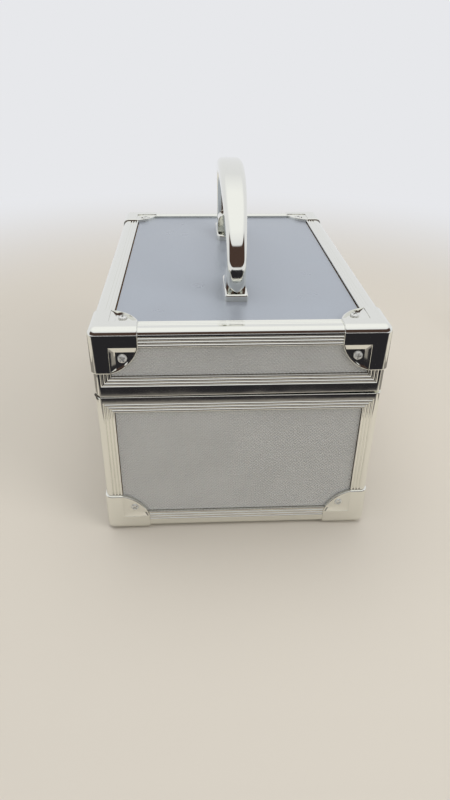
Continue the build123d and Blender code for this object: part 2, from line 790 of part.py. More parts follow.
with BuildPart() as handle:
    add(arch.part)
    with BuildSketch(Plane.XY.offset(pivot_z)):
        with Locations(*[(side * arch_half_span, 0) for side in (-1, 1)]):
            RectangleRounded(handle_thickness, leg_width, handle_rounding)
    extrude(amount=handle_leg_rise)
    for start_x in (-leg_outer, leg_inner):
        add(leg_lug(start_x))
    for side in (-1, 1):
        with BuildSketch(Plane((side * leg_inner, 0, pivot_z), x_dir=(0, 1, 0), z_dir=(side, 0, 0))):
            Circle(handle_pin_radius + running_clearance)
        extrude(amount=handle_bore_depth, mode=Mode.SUBTRACT)
save(handle.part, "handle")

# Feet that carry the handle: a low block under each leg with a post beside it for the pin
foot_inner = foot_outer - foot_length
post_inner = post_outer - post_length
pin_start = post_outer - handle_pin_length / 2
pin_end = leg_inner + handle_bore_depth - foot_overhang / 2
foot_screw_places = [foot_outer - offset for offset in foot_screw_offsets]

with BuildPart() as foot:
    with BuildSketch(Plane.XY.offset(sheet_top)):
        with Locations(((foot_outer + foot_inner) / 2, 0)):
            Rectangle(foot_length, foot_width)
        fillet(vertices().group_by(Axis.X)[0], radius=foot_width / 2 - foot_edge)
    extrude(amount=foot_height)
    fillet(foot.faces().sort_by(Axis.Z)[-1].edges(), radius=foot_edge)
    with BuildSketch(Plane.YZ.offset(post_outer)):
        with BuildLine():
            Polyline((-foot_width / 2 + foot_edge, foot_top - foot_edge),
                     (foot_width / 2 - foot_edge, foot_top - foot_edge),
                     (leg_width / 2, pivot_z), (-leg_width / 2, pivot_z), close=True)
        make_face()
        with Locations((0, pivot_z)):
            Circle(leg_width / 2)
    extrude(amount=-post_length)
    with BuildSketch(Plane.XZ.offset(-leg_width / 2)):
        with BuildLine():
            Polyline((post_inner, pivot_z), (post_inner, sheet_top + foot_edge),
                     (foot_inner + 2 * foot_edge, sheet_top + foot_edge),
                     (foot_inner + 2 * foot_edge, foot_top), close=True)
        make_face()
    extrude(amount=leg_width)
    with BuildSketch(Plane((pin_start, 0, pivot_z), x_dir=(0, 1, 0), z_dir=(1, 0, 0))):
        Circle(handle_pin_radius)
    extrude(amount=post_outer - pin_start, mode=Mode.SUBTRACT)
    with BuildSketch(Plane.XY.offset(sheet_top)):
        with Locations(*[(x, 0) for x in foot_screw_places]):
            Circle(foot_screw_radius)
    extrude(amount=foot_screw_depth, mode=Mode.SUBTRACT)
save(foot.part, "handle_foot_right")
save(mirror(foot.part, about=Plane.YZ), "handle_foot_left")

with BuildPart() as handle_pins:
    with BuildSketch(Plane((pin_start, 0, pivot_z), x_dir=(0, 1, 0), z_dir=(1, 0, 0))):
        Circle(handle_pin_radius)
    extrude(amount=pin_end - pin_start)
    mirror(about=Plane.YZ)
save(handle_pins.part, "handle_pins")

all_screw_places = [(side * x, 0) for side in (-1, 1) for x in foot_screw_places]
with BuildPart() as handle_foot_screws:
    with BuildSketch(Plane.XY.offset(lining_ceiling)):
        with Locations(*all_screw_places):
            Circle(foot_screw_radius)
    extrude(amount=sheet_top + foot_screw_depth - lining_ceiling)
    with BuildSketch(Plane.XY.offset(lining_ceiling - foot_screw_head_height)):
        with Locations(*all_screw_places):
            Circle(foot_screw_head_radius)
    extrude(amount=foot_screw_head_height)
save(handle_foot_screws.part, "handle_foot_screws")


def cut_foot_screw_holes(radius):
    """Holes for the foot screws through everything above the lid's lining."""
    with BuildSketch(Plane.XY.offset(lining_ceiling)) as holes:
        with Locations(*all_screw_places):
            Circle(radius)
    extrude(holes.sketch, amount=sheet_top - lining_ceiling, mode=Mode.SUBTRACT)


with BuildPart() as lid_board:
    add(lid_carcass.part)
    cut_rivet_holes(1)
    cut_latch_screw_holes(stud_z)
    cut_foot_screw_holes(foot_screw_radius)
save(lid_board.part, "lid_carcass")

with BuildPart() as top_sheet:
    add(lid_top_sheet.part)
    cut_foot_screw_holes(foot_screw_radius)
save(top_sheet.part, "lid_top_sheet")

with BuildPart() as lid_lining_cut:
    add(lid_lining.part)
    with BuildSketch(Plane.XY.offset(lining_ceiling)):
        with Locations(*all_screw_places):
            Circle(foot_screw_head_radius + head_clearance)
    extrude(amount=-lining_thickness, mode=Mode.SUBTRACT)
save(lid_lining_cut.part, "lid_lining")
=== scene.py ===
"""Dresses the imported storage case: frames, caps, panels, sheets, handle and its feet, and a studio.

Every size is a real one. Places are in the case's own frame: X along its length, the hinge at +Y,
Z up.
"""

import logging
import math
from collections.abc import Callable, Iterator
from contextlib import contextmanager
from dataclasses import dataclass
from enum import Enum

import bmesh
import bpy
from mathutils import Matrix, Vector


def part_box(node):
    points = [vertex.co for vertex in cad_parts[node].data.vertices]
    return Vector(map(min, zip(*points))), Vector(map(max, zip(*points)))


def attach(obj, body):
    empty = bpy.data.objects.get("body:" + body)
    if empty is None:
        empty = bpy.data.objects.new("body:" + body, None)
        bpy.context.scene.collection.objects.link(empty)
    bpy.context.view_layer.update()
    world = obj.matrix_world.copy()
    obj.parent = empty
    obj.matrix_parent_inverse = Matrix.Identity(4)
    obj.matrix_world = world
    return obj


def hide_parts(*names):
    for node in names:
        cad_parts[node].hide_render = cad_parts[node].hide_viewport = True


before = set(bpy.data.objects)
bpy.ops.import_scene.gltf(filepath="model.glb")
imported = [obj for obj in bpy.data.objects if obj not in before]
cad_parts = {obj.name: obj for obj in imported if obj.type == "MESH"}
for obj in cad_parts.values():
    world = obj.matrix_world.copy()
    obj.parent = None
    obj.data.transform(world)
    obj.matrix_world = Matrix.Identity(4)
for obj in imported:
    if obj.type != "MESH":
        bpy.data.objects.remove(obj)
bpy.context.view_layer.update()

MM = 0.001
NEAR = 1e-6  # places closer than this are one place
FACING = 0.999  # a flat face's normal has at least this share along the axis that it looks along
SLIVER = 0.02 * MM  # a first inset, whose face is then fitted to its real size
CREASE = math.radians(50)  # edges sharper than this get a small rounding
log = logging.getLogger("storage_case")

Object = bpy.types.Object
Material = bpy.types.Material
Tree = bpy.types.NodeTree
Node = bpy.types.Node


class Part(Enum):
    """What edit mode selects: the value is Blender's name for the select mode."""

    VERTS = "VERT"
    EDGES = "EDGE"
    FACES = "FACE"


class Half(Enum):
    """The two halves of the case, which are also two of its bodies."""

    BASE = "base"
    LID = "lid"

    @property
    def up(self) -> int:
        """Which way the half's closed side looks: 1 for up, -1 for down."""
        return 1 if self is Half.LID else -1

    def node(self, name: str) -> str:
        """Name of one of the half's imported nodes."""
        return f"{self.value}_{name}"


@dataclass(frozen=True)
class Face:
    """A flat face of the case: its name, the axis that it looks along and which way."""

    name: str
    axis: int
    sign: int

    def normal(self) -> Vector:
        """Unit vector that points out of the face."""
        return unit(self.axis) * self.sign

    def level(self, low: Vector, high: Vector) -> float:
        """Where this face of the box with these corners lies along its own axis."""
        return (high if self.sign > 0 else low)[self.axis]


SIDES = (Face("right", 0, 1), Face("left", 0, -1), Face("back", 1, 1), Face("front", 1, -1))
TOP = Face("top", 2, 1)
BOTTOM = Face("bottom", 2, -1)
CORNERS = {"right_back": (1, 1), "right_front": (1, -1), "left_back": (-1, 1),
           "left_front": (-1, -1)}


def unit(axis: int) -> Vector:
    """Unit vector along one axis."""
    return Vector([float(number == axis) for number in range(3)])


def linear(hex_colour: str) -> tuple[float, float, float, float]:
    """Turn an sRGB hex colour to the linear one that shaders take.

    Args:
        hex_colour: A colour such as #A0B0C0.

    Returns:
        Linear red, green and blue, and full alpha.
    """
    shares = [int(hex_colour[start:start + 2], 16) / 255 for start in (1, 3, 5)]
    red, green, blue = (s / 12.92 if s <= 0.04045 else ((s + 0.055) / 1.055) ** 2.4
                        for s in shares)
    return red, green, blue, 1.0


# Modelling helpers


def bake_place() -> None:
    """Bake the selected object's place, turn and scale into its mesh."""
    bpy.ops.object.transform_apply(location=True, rotation=True, scale=True)


def start(adder: Callable, **settings: object) -> Object:
    """Add a primitive with nothing else selected, and bake its place into its mesh.

    Args:
        adder: The operator that adds it.
        settings: Its size, place and turn.

    Returns:
        The new object, at the origin.
    """
    bpy.ops.object.select_all(action="DESELECT")
    adder(**settings)
    bake_place()
    return bpy.context.active_object


def block(low: Vector, high: Vector) -> Object:
    """Add a block between a low and a high corner."""
    return start(bpy.ops.mesh.primitive_cube_add, size=1, location=(low + high) / 2,
                 scale=high - low)


def wake(piece: Object) -> None:
    """Select one object alone and make it active."""
    bpy.ops.object.select_all(action="DESELECT")
    piece.select_set(True)
    bpy.context.view_layer.objects.active = piece


@contextmanager
def editing(piece: Object) -> Iterator[None]:
    """Edit one object's mesh inside a with block."""
    wake(piece)
    bpy.ops.object.mode_set(mode="EDIT")
    yield
    bpy.ops.object.mode_set(mode="OBJECT")


def middle(item: bmesh.types.BMEdge | bmesh.types.BMFace) -> Vector:
    """Mean place of the corners of an edge or a face."""
    places = [corner.co for corner in item.verts]
    return sum(places, Vector()) / len(places)


def flat_at(axis: int, level: float) -> Callable[..., bool]:
    """Make a test for edges and faces that lie wholly at one place along an axis."""
    return lambda item: all(abs(corner.co[axis] - level) < NEAR for corner in item.verts)


def climbs(edge: bmesh.types.BMEdge) -> bool:
    """True for an edge whose ends differ by more than a millimetre in height."""
    return abs(edge.verts[0].co.z - edge.verts[1].co.z) > MM


def pick(kind: Part, test: Callable[..., bool]) -> None:
    """Select in edit mode only the elements that pass a test.

    Args:
        kind: Vertices, edges or faces.
        test: Says for one element whether it is wanted.
    """
    bpy.ops.mesh.select_mode(type=kind.value)
    bpy.ops.mesh.select_all(action="DESELECT")
    mesh = bpy.context.edit_object.data
    shape = bmesh.from_edit_mesh(mesh)
    for item in getattr(shape, kind.name.lower()):
        if test(item):
            item.select_set(True)
    shape.select_flush_mode()
    bmesh.update_edit_mesh(mesh)


def pick_all() -> None:
    """Select the whole mesh in edit mode."""
    bpy.ops.mesh.select_all(action="SELECT")


def extrude(move: Vector) -> None:
    """Extrude what is selected and move the new part."""
    bpy.ops.mesh.extrude_region_move(TRANSFORM_OT_translate={"value": move})


def round_edges(radius: float, segments: int) -> None:
    """Bevel the selected edges round."""
    bpy.ops.mesh.bevel(offset=radius, segments=segments, affect="EDGES")


def slice_mesh(place: Vector, normal: Vector, **settings: bool) -> None:
    """Bisect what is selected, exactly at the plane.

    Args:
        place: A point of the plane.
        normal: The plane's normal.
        settings: Which side is cleared and whether the cut is filled.
    """
    bpy.ops.mesh.bisect(plane_co=place, plane_no=normal, threshold=NEAR, **settings)


def fit_selection(low: Vector, high: Vector) -> None:
    """Resize and move the selected part until its box has these corners.

    Args:
        low: Lowest corner wanted.
        high: Highest corner wanted, the same as the lowest along a flat part's own normal.
    """
    shape = bmesh.from_edit_mesh(bpy.context.edit_object.data)
    places = [corner.co for corner in shape.verts if corner.select]
    now_low = Vector([min(place[axis] for place in places) for axis in range(3)])
    now_high = Vector([max(place[axis] for place in places) for axis in range(3)])
    centre = (now_low + now_high) / 2
    factors = [(high[axis] - low[axis]) / (now_high[axis] - now_low[axis])
               if now_high[axis] - now_low[axis] > NEAR else 1.0 for axis in range(3)]
    bpy.ops.transform.resize(value=factors, center_override=centre)
    bpy.ops.transform.translate(value=(low + high) / 2 - centre)


def apply_modifier(piece: Object, kind: str, **settings: object) -> None:
    """Give a piece one modifier and apply it.

    Args:
        piece: The object.
        kind: Blender's name for the modifier's type.
        settings: Its settings.
    """
    wake(piece)
    modifier = piece.modifiers.new(kind.lower(), kind)
    for name, value in settings.items():
        setattr(modifier, name, value)
    bpy.ops.object.modifier_apply(modifier=modifier.name)


def thicken(piece: Object, wall: float) -> None:
    """Give an open surface its wall, on the inner side of its faces."""
    apply_modifier(piece, "SOLIDIFY", thickness=wall, offset=-1.0, use_rim=True)


def carve(piece: Object, cutter: Object) -> None:
    """Cut one object's shape out of another and remove the cutter."""
    apply_modifier(piece, "BOOLEAN", object=cutter, operation="DIFFERENCE", solver="EXACT")
    bpy.data.objects.remove(cutter)


def copied(piece: Object, turn: Matrix) -> Object:
    """Copy a piece with its own mesh and turn, mirror or move the copy.

    Args:
        piece: The object to copy.
        turn: Where the copy goes; a mirroring matrix is allowed.

    Returns:
        The copy, at the origin, with its faces outwards.
    """
    wake(piece)
    bpy.ops.object.duplicate()
    copy = bpy.context.active_object
    copy.matrix_world = turn
    bake_place()
    if turn.determinant() < 0:
        with editing(copy):
            pick_all()
            bpy.ops.mesh.normals_make_consistent(inside=False)
    return copy


def joined(pieces: list[Object]) -> Object:
    """Join several objects into the first one."""
    wake(pieces[0])
    for piece in pieces:
        piece.select_set(True)
    bpy.ops.object.join()
    return bpy.context.active_object


def finish_piece(piece: Object, name: str, body: str, material: Material,
                 stands_for: tuple[str, ...], angle: float = 35.0,
                 weighted: bool = True) -> Object:
    """Name a finished piece, smooth it, dress it and put it on its body.

    Args:
        piece: The object, with its place in its mesh.
        name: Its new name.
        body: The body that carries it.
        material: Its finish.
        stands_for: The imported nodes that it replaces.
        angle: Edges sharper than this many degrees stay sharp.
        weighted: Whether large flat faces keep flat shading beside small roundings.

    Returns:
        The same object.
    """
    piece.name = piece.data.name = name
    piece.data.materials.clear()
    piece.data.materials.append(material)
    wake(piece)
    bpy.ops.object.shade_smooth_by_angle(angle=math.radians(angle), keep_sharp_edges=True)
    if weighted:
        apply_modifier(piece, "WEIGHTED_NORMAL", keep_sharp=True)
    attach(piece, body)
    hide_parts(*stands_for)
    log.info("%s: %d faces on %s", name, len(piece.data.polygons), body)
    return piece


# Finishes


def add_node(tree: Tree, kind: str, settings: dict | None = None, links: dict | None = None,
             feeds: dict | None = None) -> Node:
    """Add a shader node with its settings and links.

    Args:
        tree: The node tree.
        kind: The node's type, without the prefix that all shader nodes share.
        settings: Values for its properties, or for its sockets by name or number.
        links: For a socket of its own, the node and the output that feed it.
        feeds: For an output of its own, the node and the socket that it feeds.

    Returns:
        The new node.
    """
    node = tree.nodes.new(f"ShaderNode{kind}")
    for name, value in (settings or {}).items():
        if isinstance(name, int) or not hasattr(node, name):
            node.inputs[name].default_value = value
        else:
            setattr(node, name, value)
    for socket, (source, output) in (links or {}).items():
        tree.links.new(source.outputs[output], node.inputs[socket])
    for output, (target, socket) in (feeds or {}).items():
        tree.links.new(node.outputs[output], target.inputs[socket])
    return node


@dataclass(frozen=True)
class Finish:
    """A surface finish: the base class, which opens its material."""

    name: str
    colour: str
    roughness: float
    metallic: float = 0.0

    def begin(self) -> tuple[Material, Tree, Node, dict]:
        """Open the material.

        Returns:
            The material, its node tree, its shader, and the link that lays a pattern on the object.
        """
        material = bpy.data.materials.new(self.name)
        material.use_nodes = True
        tree = material.node_tree
        shader = next(node for node in tree.nodes if node.type == "BSDF_PRINCIPLED")
        shader.inputs["Base Color"].default_value = linear(self.colour)
        shader.inputs["Roughness"].default_value = self.roughness
        shader.inputs["Metallic"].default_value = self.metallic
        return material, tree, shader, {"Vector": (add_node(tree, "TexCoord"), "Object")}


@dataclass(frozen=True)
class ChromePlate(Finish):
    """ABS, injection moulded, then plated with bright nickel and chromium.

    The plating copies the mould's faint ripples, so the mirror wavers; it has a few pits, and hands
    leave it a little duller in patches.
    """

    ripple: float = 7.0 * MM
    ripple_height: float = 0.012 * MM
    smudge: float = 24.0 * MM
    smudge_share: tuple[float, float] = (0.42, 0.72)
    smudge_roughness: float = 0.10
    pit_spacing: float = 11.0 * MM
    pit_share: float = 0.12
    pit_rim: tuple[float, float] = (0.02, 0.035)
    pit_colour: str = "#1C1A18"

    def build(self) -> Material:
        """Make the material."""
        material, tree, shader, on_object = self.begin()
        ripple = add_node(tree, "TexNoise", {"Scale": 1 / self.ripple, "Detail": 1.0}, on_object)
        add_node(tree, "Bump", {"Strength": 1.0, "Distance": self.ripple_height},
                 {"Height": (ripple, 0)}, {0: (shader, "Normal")})
        smudge = add_node(tree, "TexNoise", {"Scale": 1 / self.smudge, "Detail": 5.0}, on_object)
        add_node(tree, "MapRange",
                 {"From Min": self.smudge_share[0], "From Max": self.smudge_share[1],
                  "To Min": self.roughness, "To Max": self.smudge_roughness},
                 {"Value": (smudge, 0)}, {0: (shader, "Roughness")})
        cells = add_node(tree, "TexVoronoi", {"Scale": 1 / self.pit_spacing}, on_object)
        lot = add_node(tree, "SeparateColor", {}, {0: (cells, "Color")})
        chosen = add_node(tree, "Math", {"operation": "LESS_THAN", 1: self.pit_share},
                          {0: (lot, 0)})
        spot = add_node(tree, "MapRange",
                        {"From Min": self.pit_rim[0], "From Max": self.pit_rim[1],
                         "To Min": 1.0, "To Max": 0.0}, {"Value": (cells, "Distance")})
        pit = add_node(tree, "Math", {"operation": "MULTIPLY"}, {0: (chosen, 0), 1: (spot, 0)})
        add_node(tree, "Mix",
                 {"data_type": "RGBA", 6: linear(self.colour), 7: linear(self.pit_colour)},
                 {0: (pit, 0)}, {2: (shader, "Base Color")})
        return material


@dataclass(frozen=True)
class PlatedSteel(Finish):
    """Mild steel, stamped or turned, bright zinc plated: brighter in small worn patches, a little
    uneven.
    """

    grain: float = 1.2 * MM
    grain_share: tuple[float, float] = (0.3, 0.7)
    wear: tuple[float, float] = (0.7, 1.4)
    worn_colour: str = "#D9D8D4"

    def build(self) -> Material:
        """Make the material."""
        material, tree, shader, on_object = self.begin()
        grain = add_node(tree, "TexNoise", {"Scale": 1 / self.grain, "Detail": 4.0}, on_object)
        add_node(tree, "Mix",
                 {"data_type": "RGBA", 6: linear(self.colour), 7: linear(self.worn_colour)},
                 {0: (grain, 0)}, {2: (shader, "Base Color")})
        add_node(tree, "MapRange",
                 {"From Min": self.grain_share[0], "From Max": self.grain_share[1],
                  "To Min": self.roughness * self.wear[0],
                  "To Max": self.roughness * self.wear[1]},
                 {"Value": (grain, 0)}, {0: (shader, "Roughness")})
        return material


@dataclass(frozen=True)
class SilverFilm(Finish):
    """Silver pigmented PVC film laminated on hardboard: satin, with a fine grain and dull patches.

    The real pigment is finer than a tenth of a millimetre. Its grain is drawn coarser, so that it
    shows.
    """

    grain: float = 0.5 * MM
    grain_height: float = 0.01 * MM
    patch: float = 30.0 * MM
    patch_share: tuple[float, float] = (0.3, 0.7)
    uneven: tuple[float, float] = (-0.05, 0.07)
    shade_share: tuple[float, float] = (0.6, 1.4)
    shade: float = 0.06

    def build(self) -> Material:
        """Make the material."""
        material, tree, shader, on_object = self.begin()
        grain = add_node(tree, "TexNoise", {"Scale": 1 / self.grain, "Detail": 3.0}, on_object)
        patch = add_node(tree, "TexNoise", {"Scale": 1 / self.patch, "Detail": 4.0}, on_object)
        both = add_node(tree, "Math", {"operation": "ADD"}, {0: (grain, 0), 1: (patch, 0)})
        value = add_node(tree, "MapRange",
                         {"From Min": self.shade_share[0], "From Max": self.shade_share[1],
                          "To Min": 1 - self.shade, "To Max": 1 + self.shade},
                         {"Value": (both, 0)})
        add_node(tree, "HueSaturation", {"Color": linear(self.colour)}, {"Value": (value, 0)},
                 {0: (shader, "Base Color")})
        add_node(tree, "MapRange",
                 {"From Min": self.patch_share[0], "From Max": self.patch_share[1],
                  "To Min": self.roughness + self.uneven[0],
                  "To Max": self.roughness + self.uneven[1]},
                 {"Value": (patch, 0)}, {0: (shader, "Roughness")})
        add_node(tree, "Bump", {"Strength": 1.0, "Distance": self.grain_height},
                 {"Height": (grain, 0)}, {0: (shader, "Normal")})
        return material


@dataclass(frozen=True)
class Fibreboard(Finish):
    """Medium density fibreboard, sawn: brown, matt, with short fibres."""

    fibre: float = 0.8 * MM
    fibre_height: float = 0.05 * MM
    fibre_strength: float = 0.6
    dark_colour: str = "#8A6A48"

    def build(self) -> Material:
        """Make the material."""
        material, tree, shader, on_object = self.begin()
        fibre = add_node(tree, "TexNoise", {"Scale": 1 / self.fibre, "Detail": 6.0}, on_object)
        add_node(tree, "Mix",
                 {"data_type": "RGBA", 6: linear(self.colour), 7: linear(self.dark_colour)},
                 {0: (fibre, 0)}, {2: (shader, "Base Color")})
        add_node(tree, "Bump",
                 {"Strength": self.fibre_strength, "Distance": self.fibre_height},
                 {"Height": (fibre, 0)}, {0: (shader, "Normal")})
        return material


@dataclass(frozen=True)
class FlockLining(Finish):
    """Flocked velour glued on card: short black pile that catches light at its edges.

    The fibres are 0.5 mm long and stand closer than that; tufts of 0.6 mm are the finest that show.
    """

    pile: float = 0.6 * MM
    pile_height: float = 0.15 * MM
    pile_strength: float = 0.8
    crushed: float = 18.0 * MM
    light_colour: str = "#3A3A40"
    sheen: float = 0.5

    def build(self) -> Material:
        """Make the material."""
        material, tree, shader, on_object = self.begin()
        pile = add_node(tree, "TexNoise", {"Scale": 1 / self.pile, "Detail": 3.0}, on_object)
        crushed = add_node(tree, "TexNoise", {"Scale": 1 / self.crushed, "Detail": 3.0}, on_object)
        mixed = add_node(tree, "Math", {"operation": "MULTIPLY"}, {0: (pile, 0), 1: (crushed, 0)})
        add_node(tree, "Mix",
                 {"data_type": "RGBA", 6: linear(self.colour), 7: linear(self.light_colour)},
                 {0: (mixed, 0)}, {2: (shader, "Base Color")})
        shader.inputs["Sheen Weight"].default_value = self.sheen
        add_node(tree, "Bump",
                 {"Strength": self.pile_strength, "Distance": self.pile_height},
                 {"Height": (pile, 0)}, {0: (shader, "Normal")})
        return material


# Chromed frames


@dataclass
class FrameCage:
    """The chromed frame of one half: strips round five windows, each fluted round its window."""

    half: Half
    chrome: Material
    edge_radius: float = 3.5 * MM
    flute_field: float = 5.75 * MM
    flute_centres: tuple[float, ...] = (5.1 * MM, 3.3 * MM, 1.5 * MM)
    flute_profile: tuple[tuple[float, float], ...] = (
        (-0.54 * MM, 0.0), (-0.36 * MM, -0.12 * MM), (-0.17 * MM, -0.36 * MM), (0.0, -0.43 * MM),
        (0.17 * MM, -0.36 * MM), (0.36 * MM, -0.12 * MM), (0.54 * MM, 0.0))
    reed_crown: float = 0.07 * MM
    window_round: float = 0.2 * MM
    window_wall: float = 1.35 * MM
    mitre_span: tuple[float, float] = (0.1 * MM, 2.0 * MM)
    mitre_error: float = 0.0002 * MM
    lip_round: float = 0.5 * MM
    lip_depth: float = 1.4 * MM
    lip_over: float = 1.0 * MM
    gap_back: float = 0.3 * MM
    gap_front: float = 1.2 * MM
    merge: float = 0.06 * MM
    shell: float = 0.7 * MM
    groove_radius: float = 1.8 * MM
    groove_length: float = 260.0 * MM

    @property
    def mean_gap(self) -> float:
        """Gap between the two halves at the middle of the case."""
        return (self.gap_front + self.gap_back) / 2

    def rims(self) -> tuple[str, str]:
        """Names of the half's lower and upper rim."""
        return {Half.BASE: ("base_bottom_rim", "base_top_rim"),
                Half.LID: ("lid_lower_rim", "lid_top_rim")}[self.half]

    def windows(self) -> list[tuple[Face, Vector, Vector]]:
        """Each windowed face with the low and high corner of the panel behind it."""
        found = [(side, *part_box(self.half.node(f"{side.name}_panel"))) for side in SIDES]
        closed, sheet = ((BOTTOM, "base_bottom_sheet") if self.half is Half.BASE
                         else (TOP, "lid_top_sheet"))
        return [*found, (closed, *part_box(sheet))]

    def flute_steps(self) -> list[tuple[float, float]]:
        """Insets that draw the flutes, from the plain band in to the window.

        Returns:
            For each inset its width and its rise, which is negative where it sinks.
        """
        points = [(0.0, 0.0)]
        for number, centre in enumerate(self.flute_centres):
            along = self.flute_field - centre
            points += [(along + across, height) for across, height in self.flute_profile]
            if number + 1 < len(self.flute_centres):
                half_pitch = (centre - self.flute_centres[number + 1]) / 2
                points.append((along + half_pitch, self.reed_crown))
        last = self.flute_field - self.window_round
        points += [((points[-1][0] + last) / 2, self.reed_crown), (last, 0.0),
                   (self.flute_field, -self.window_round)]
        return [(b[0] - a[0], b[1] - a[1]) for a, b in zip(points, points[1:])]

    def flute_face(self, face: Face, level: float, low: Vector, high: Vector) -> None:
        """Cut one face's window, with the flutes round it.

        Args:
            face: The face.
            level: Where its surface lies along its own axis.
            low: Low corner of the panel behind the window.
            high: High corner of that panel.
        """
        pick(Part.FACES, lambda f: f.normal[face.axis] * face.sign > FACING
             and abs(middle(f)[face.axis] - level) < NEAR)
        bpy.ops.mesh.inset(thickness=SLIVER)
        grown = Vector([0.0 if axis == face.axis else self.flute_field for axis in range(3)])
        low, high = low - grown, high + grown
        low[face.axis] = high[face.axis] = level
        fit_selection(low, high)
        for width, rise in self.flute_steps():
            bpy.ops.mesh.inset(thickness=width, depth=rise)
        extrude(face.normal() * -self.window_wall)
        bpy.ops.mesh.delete(type="FACE")

    def mark_mitres(self) -> None:
        """Keep the mitre lines crisp, so that no flute's shading bends along its length."""
        shortest, longest = self.mitre_span

        def is_mitre(edge: bmesh.types.BMEdge) -> bool:
            """True for a short edge that runs at 45 degrees in the plane of a face."""
            spans = sorted(abs(c) for c in edge.verts[0].co - edge.verts[1].co)
            return (edge.calc_length() < longest and spans[1] > shortest
                    and spans[2] - spans[1] < self.mitre_error)

        pick(Part.EDGES, is_mitre)
        bpy.ops.mesh.mark_sharp()

    def close_lip(self, low: Vector, high: Vector) -> None:
        """Turn the open edge inwards over the wall, as far as the cavity.

        Args:
            low: Low corner of the half's outer box.
            high: High corner of that box.
        """
        opening = (high.x - low.x) * (high.y - low.y)

        def is_lip(face: bmesh.types.BMFace) -> bool:
            """True for the flat face that still closes the opening."""
            return face.normal.z * -self.half.up > FACING and face.calc_area() > opening / 2

        pick(Part.FACES, is_lip)
        bpy.ops.mesh.region_to_loop()
        round_edges(self.lip_round, 3)
        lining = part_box("base_lining")[1]
        share_x, share_y = ((lining[axis] - self.lip_over) / (high[axis] - self.lip_round)
                            for axis in range(2))
        level = low.z + self.mean_gap if self.half is Half.LID else high.z
        pick(Part.FACES, is_lip)
        extrude(Vector())
        bpy.ops.transform.resize(value=(share_x, share_y, share_y), center_override=(0, 0, level))
        extrude(Vector((0, 0, self.half.up * self.lip_depth)))
        bpy.ops.mesh.delete(type="FACE")

    def cut_hinge_groove(self, cage: Object) -> None:
        """Hollow the back edge along its whole length for the hinge's knuckles."""
        pin_low, pin_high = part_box("hinge_pin")
        carve(cage, start(bpy.ops.mesh.primitive_cylinder_add, vertices=48,
                          radius=self.groove_radius, depth=self.groove_length,
                          location=(pin_low + pin_high) / 2, rotation=(0, math.pi / 2, 0)))

    def build(self) -> Object:
        """Model the frame and dress it."""
        lower, upper = (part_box(rim) for rim in self.rims())
        low, high = lower[0].copy(), upper[1].copy()
        if self.half is Half.LID:
            low.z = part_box("base_top_rim")[1].z
        cage = block(low, high)
        closed = low.z if self.half is Half.BASE else high.z
        with editing(cage):
            pick(Part.EDGES, lambda e: climbs(e) or flat_at(2, closed)(e))
            round_edges(self.edge_radius, 6)
            for face, window_low, window_high in self.windows():
                self.flute_face(face, face.level(low, high), window_low, window_high)
            self.mark_mitres()
            if self.half is Half.LID:
                pick_all()
                slope = (self.gap_front - self.gap_back) / (high.y - low.y)
                slice_mesh(Vector((0, 0, low.z + self.mean_gap)), Vector((0, slope, 1)),
                           use_fill=True, clear_inner=True)
                pick_all()
                bpy.ops.mesh.remove_doubles(threshold=self.merge)
            self.close_lip(low, high)
        thicken(cage, self.shell)
        self.cut_hinge_groove(cage)
        posts = tuple(self.half.node(f"post_{corner}") for corner in CORNERS)
        return finish_piece(cage, self.half.node("frame"), self.half.value,
                            self.chrome, (*self.rims(), *posts))


# Panels and sheets


@dataclass
class EmbossedPanel:
    """One side panel: a sheet embossed with a lattice of small diamonds."""

    half: Half
    side: Face
    film: Material
    cell: float = 1.41 * MM
    valley: float = 0.3 * MM
    rise: float = 0.3 * MM
    gap: float = 0.25 * MM
    thickness: float = 0.6 * MM

    def build(self) -> Object:
        """Model the panel flat at the origin, stand it in its window and dress it."""
        node = self.half.node(f"{self.side.name}_panel")
        low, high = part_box(node)
        across = 1 - self.side.axis
        width = high[across] - low[across] - 2 * self.gap
        height = high.z - low.z - 2 * self.gap
        cells = math.ceil(math.hypot(width, height) / self.cell) + 2
        panel = start(bpy.ops.mesh.primitive_grid_add, x_subdivisions=cells, y_subdivisions=cells,
                      size=cells * self.cell, location=(0, 0, -self.rise),
                      rotation=(0, 0, math.pi / 4))
        with editing(panel):
            pick(Part.FACES, lambda f: abs(middle(f).x) < width / 2 + self.cell
                 and abs(middle(f).y) < height / 2 + self.cell)
            bpy.ops.mesh.select_all(action="INVERT")
            bpy.ops.mesh.delete(type="FACE")
            pick_all()
            bpy.ops.mesh.inset(thickness=self.valley, depth=self.rise, use_individual=True)
            for axis, reach in ((0, width / 2), (1, height / 2)):
                for sign in (-1, 1):
                    pick_all()
                    slice_mesh(unit(axis) * sign * reach, unit(axis) * sign, clear_outer=True)
            pick(Part.EDGES, lambda e: e.is_boundary)
            extrude(Vector((0, 0, -self.thickness)))
            bpy.ops.transform.resize(value=(1, 1, 0), center_override=(0, 0, -self.thickness))
            bpy.ops.mesh.edge_face_add()
        up, out = Vector((0, 0, 1)), self.side.normal()
        place = (low + high) / 2
        place[self.side.axis] = self.side.level(low, high)
        turn = Matrix((up.cross(out), up, out)).transposed().to_4x4()
        panel.matrix_world = Matrix.Translation(place) @ turn
        wake(panel)
        bake_place()
        return finish_piece(panel, f"{node}_embossed", self.half.value,
                            self.film, (node,), angle=10.0, weighted=False)


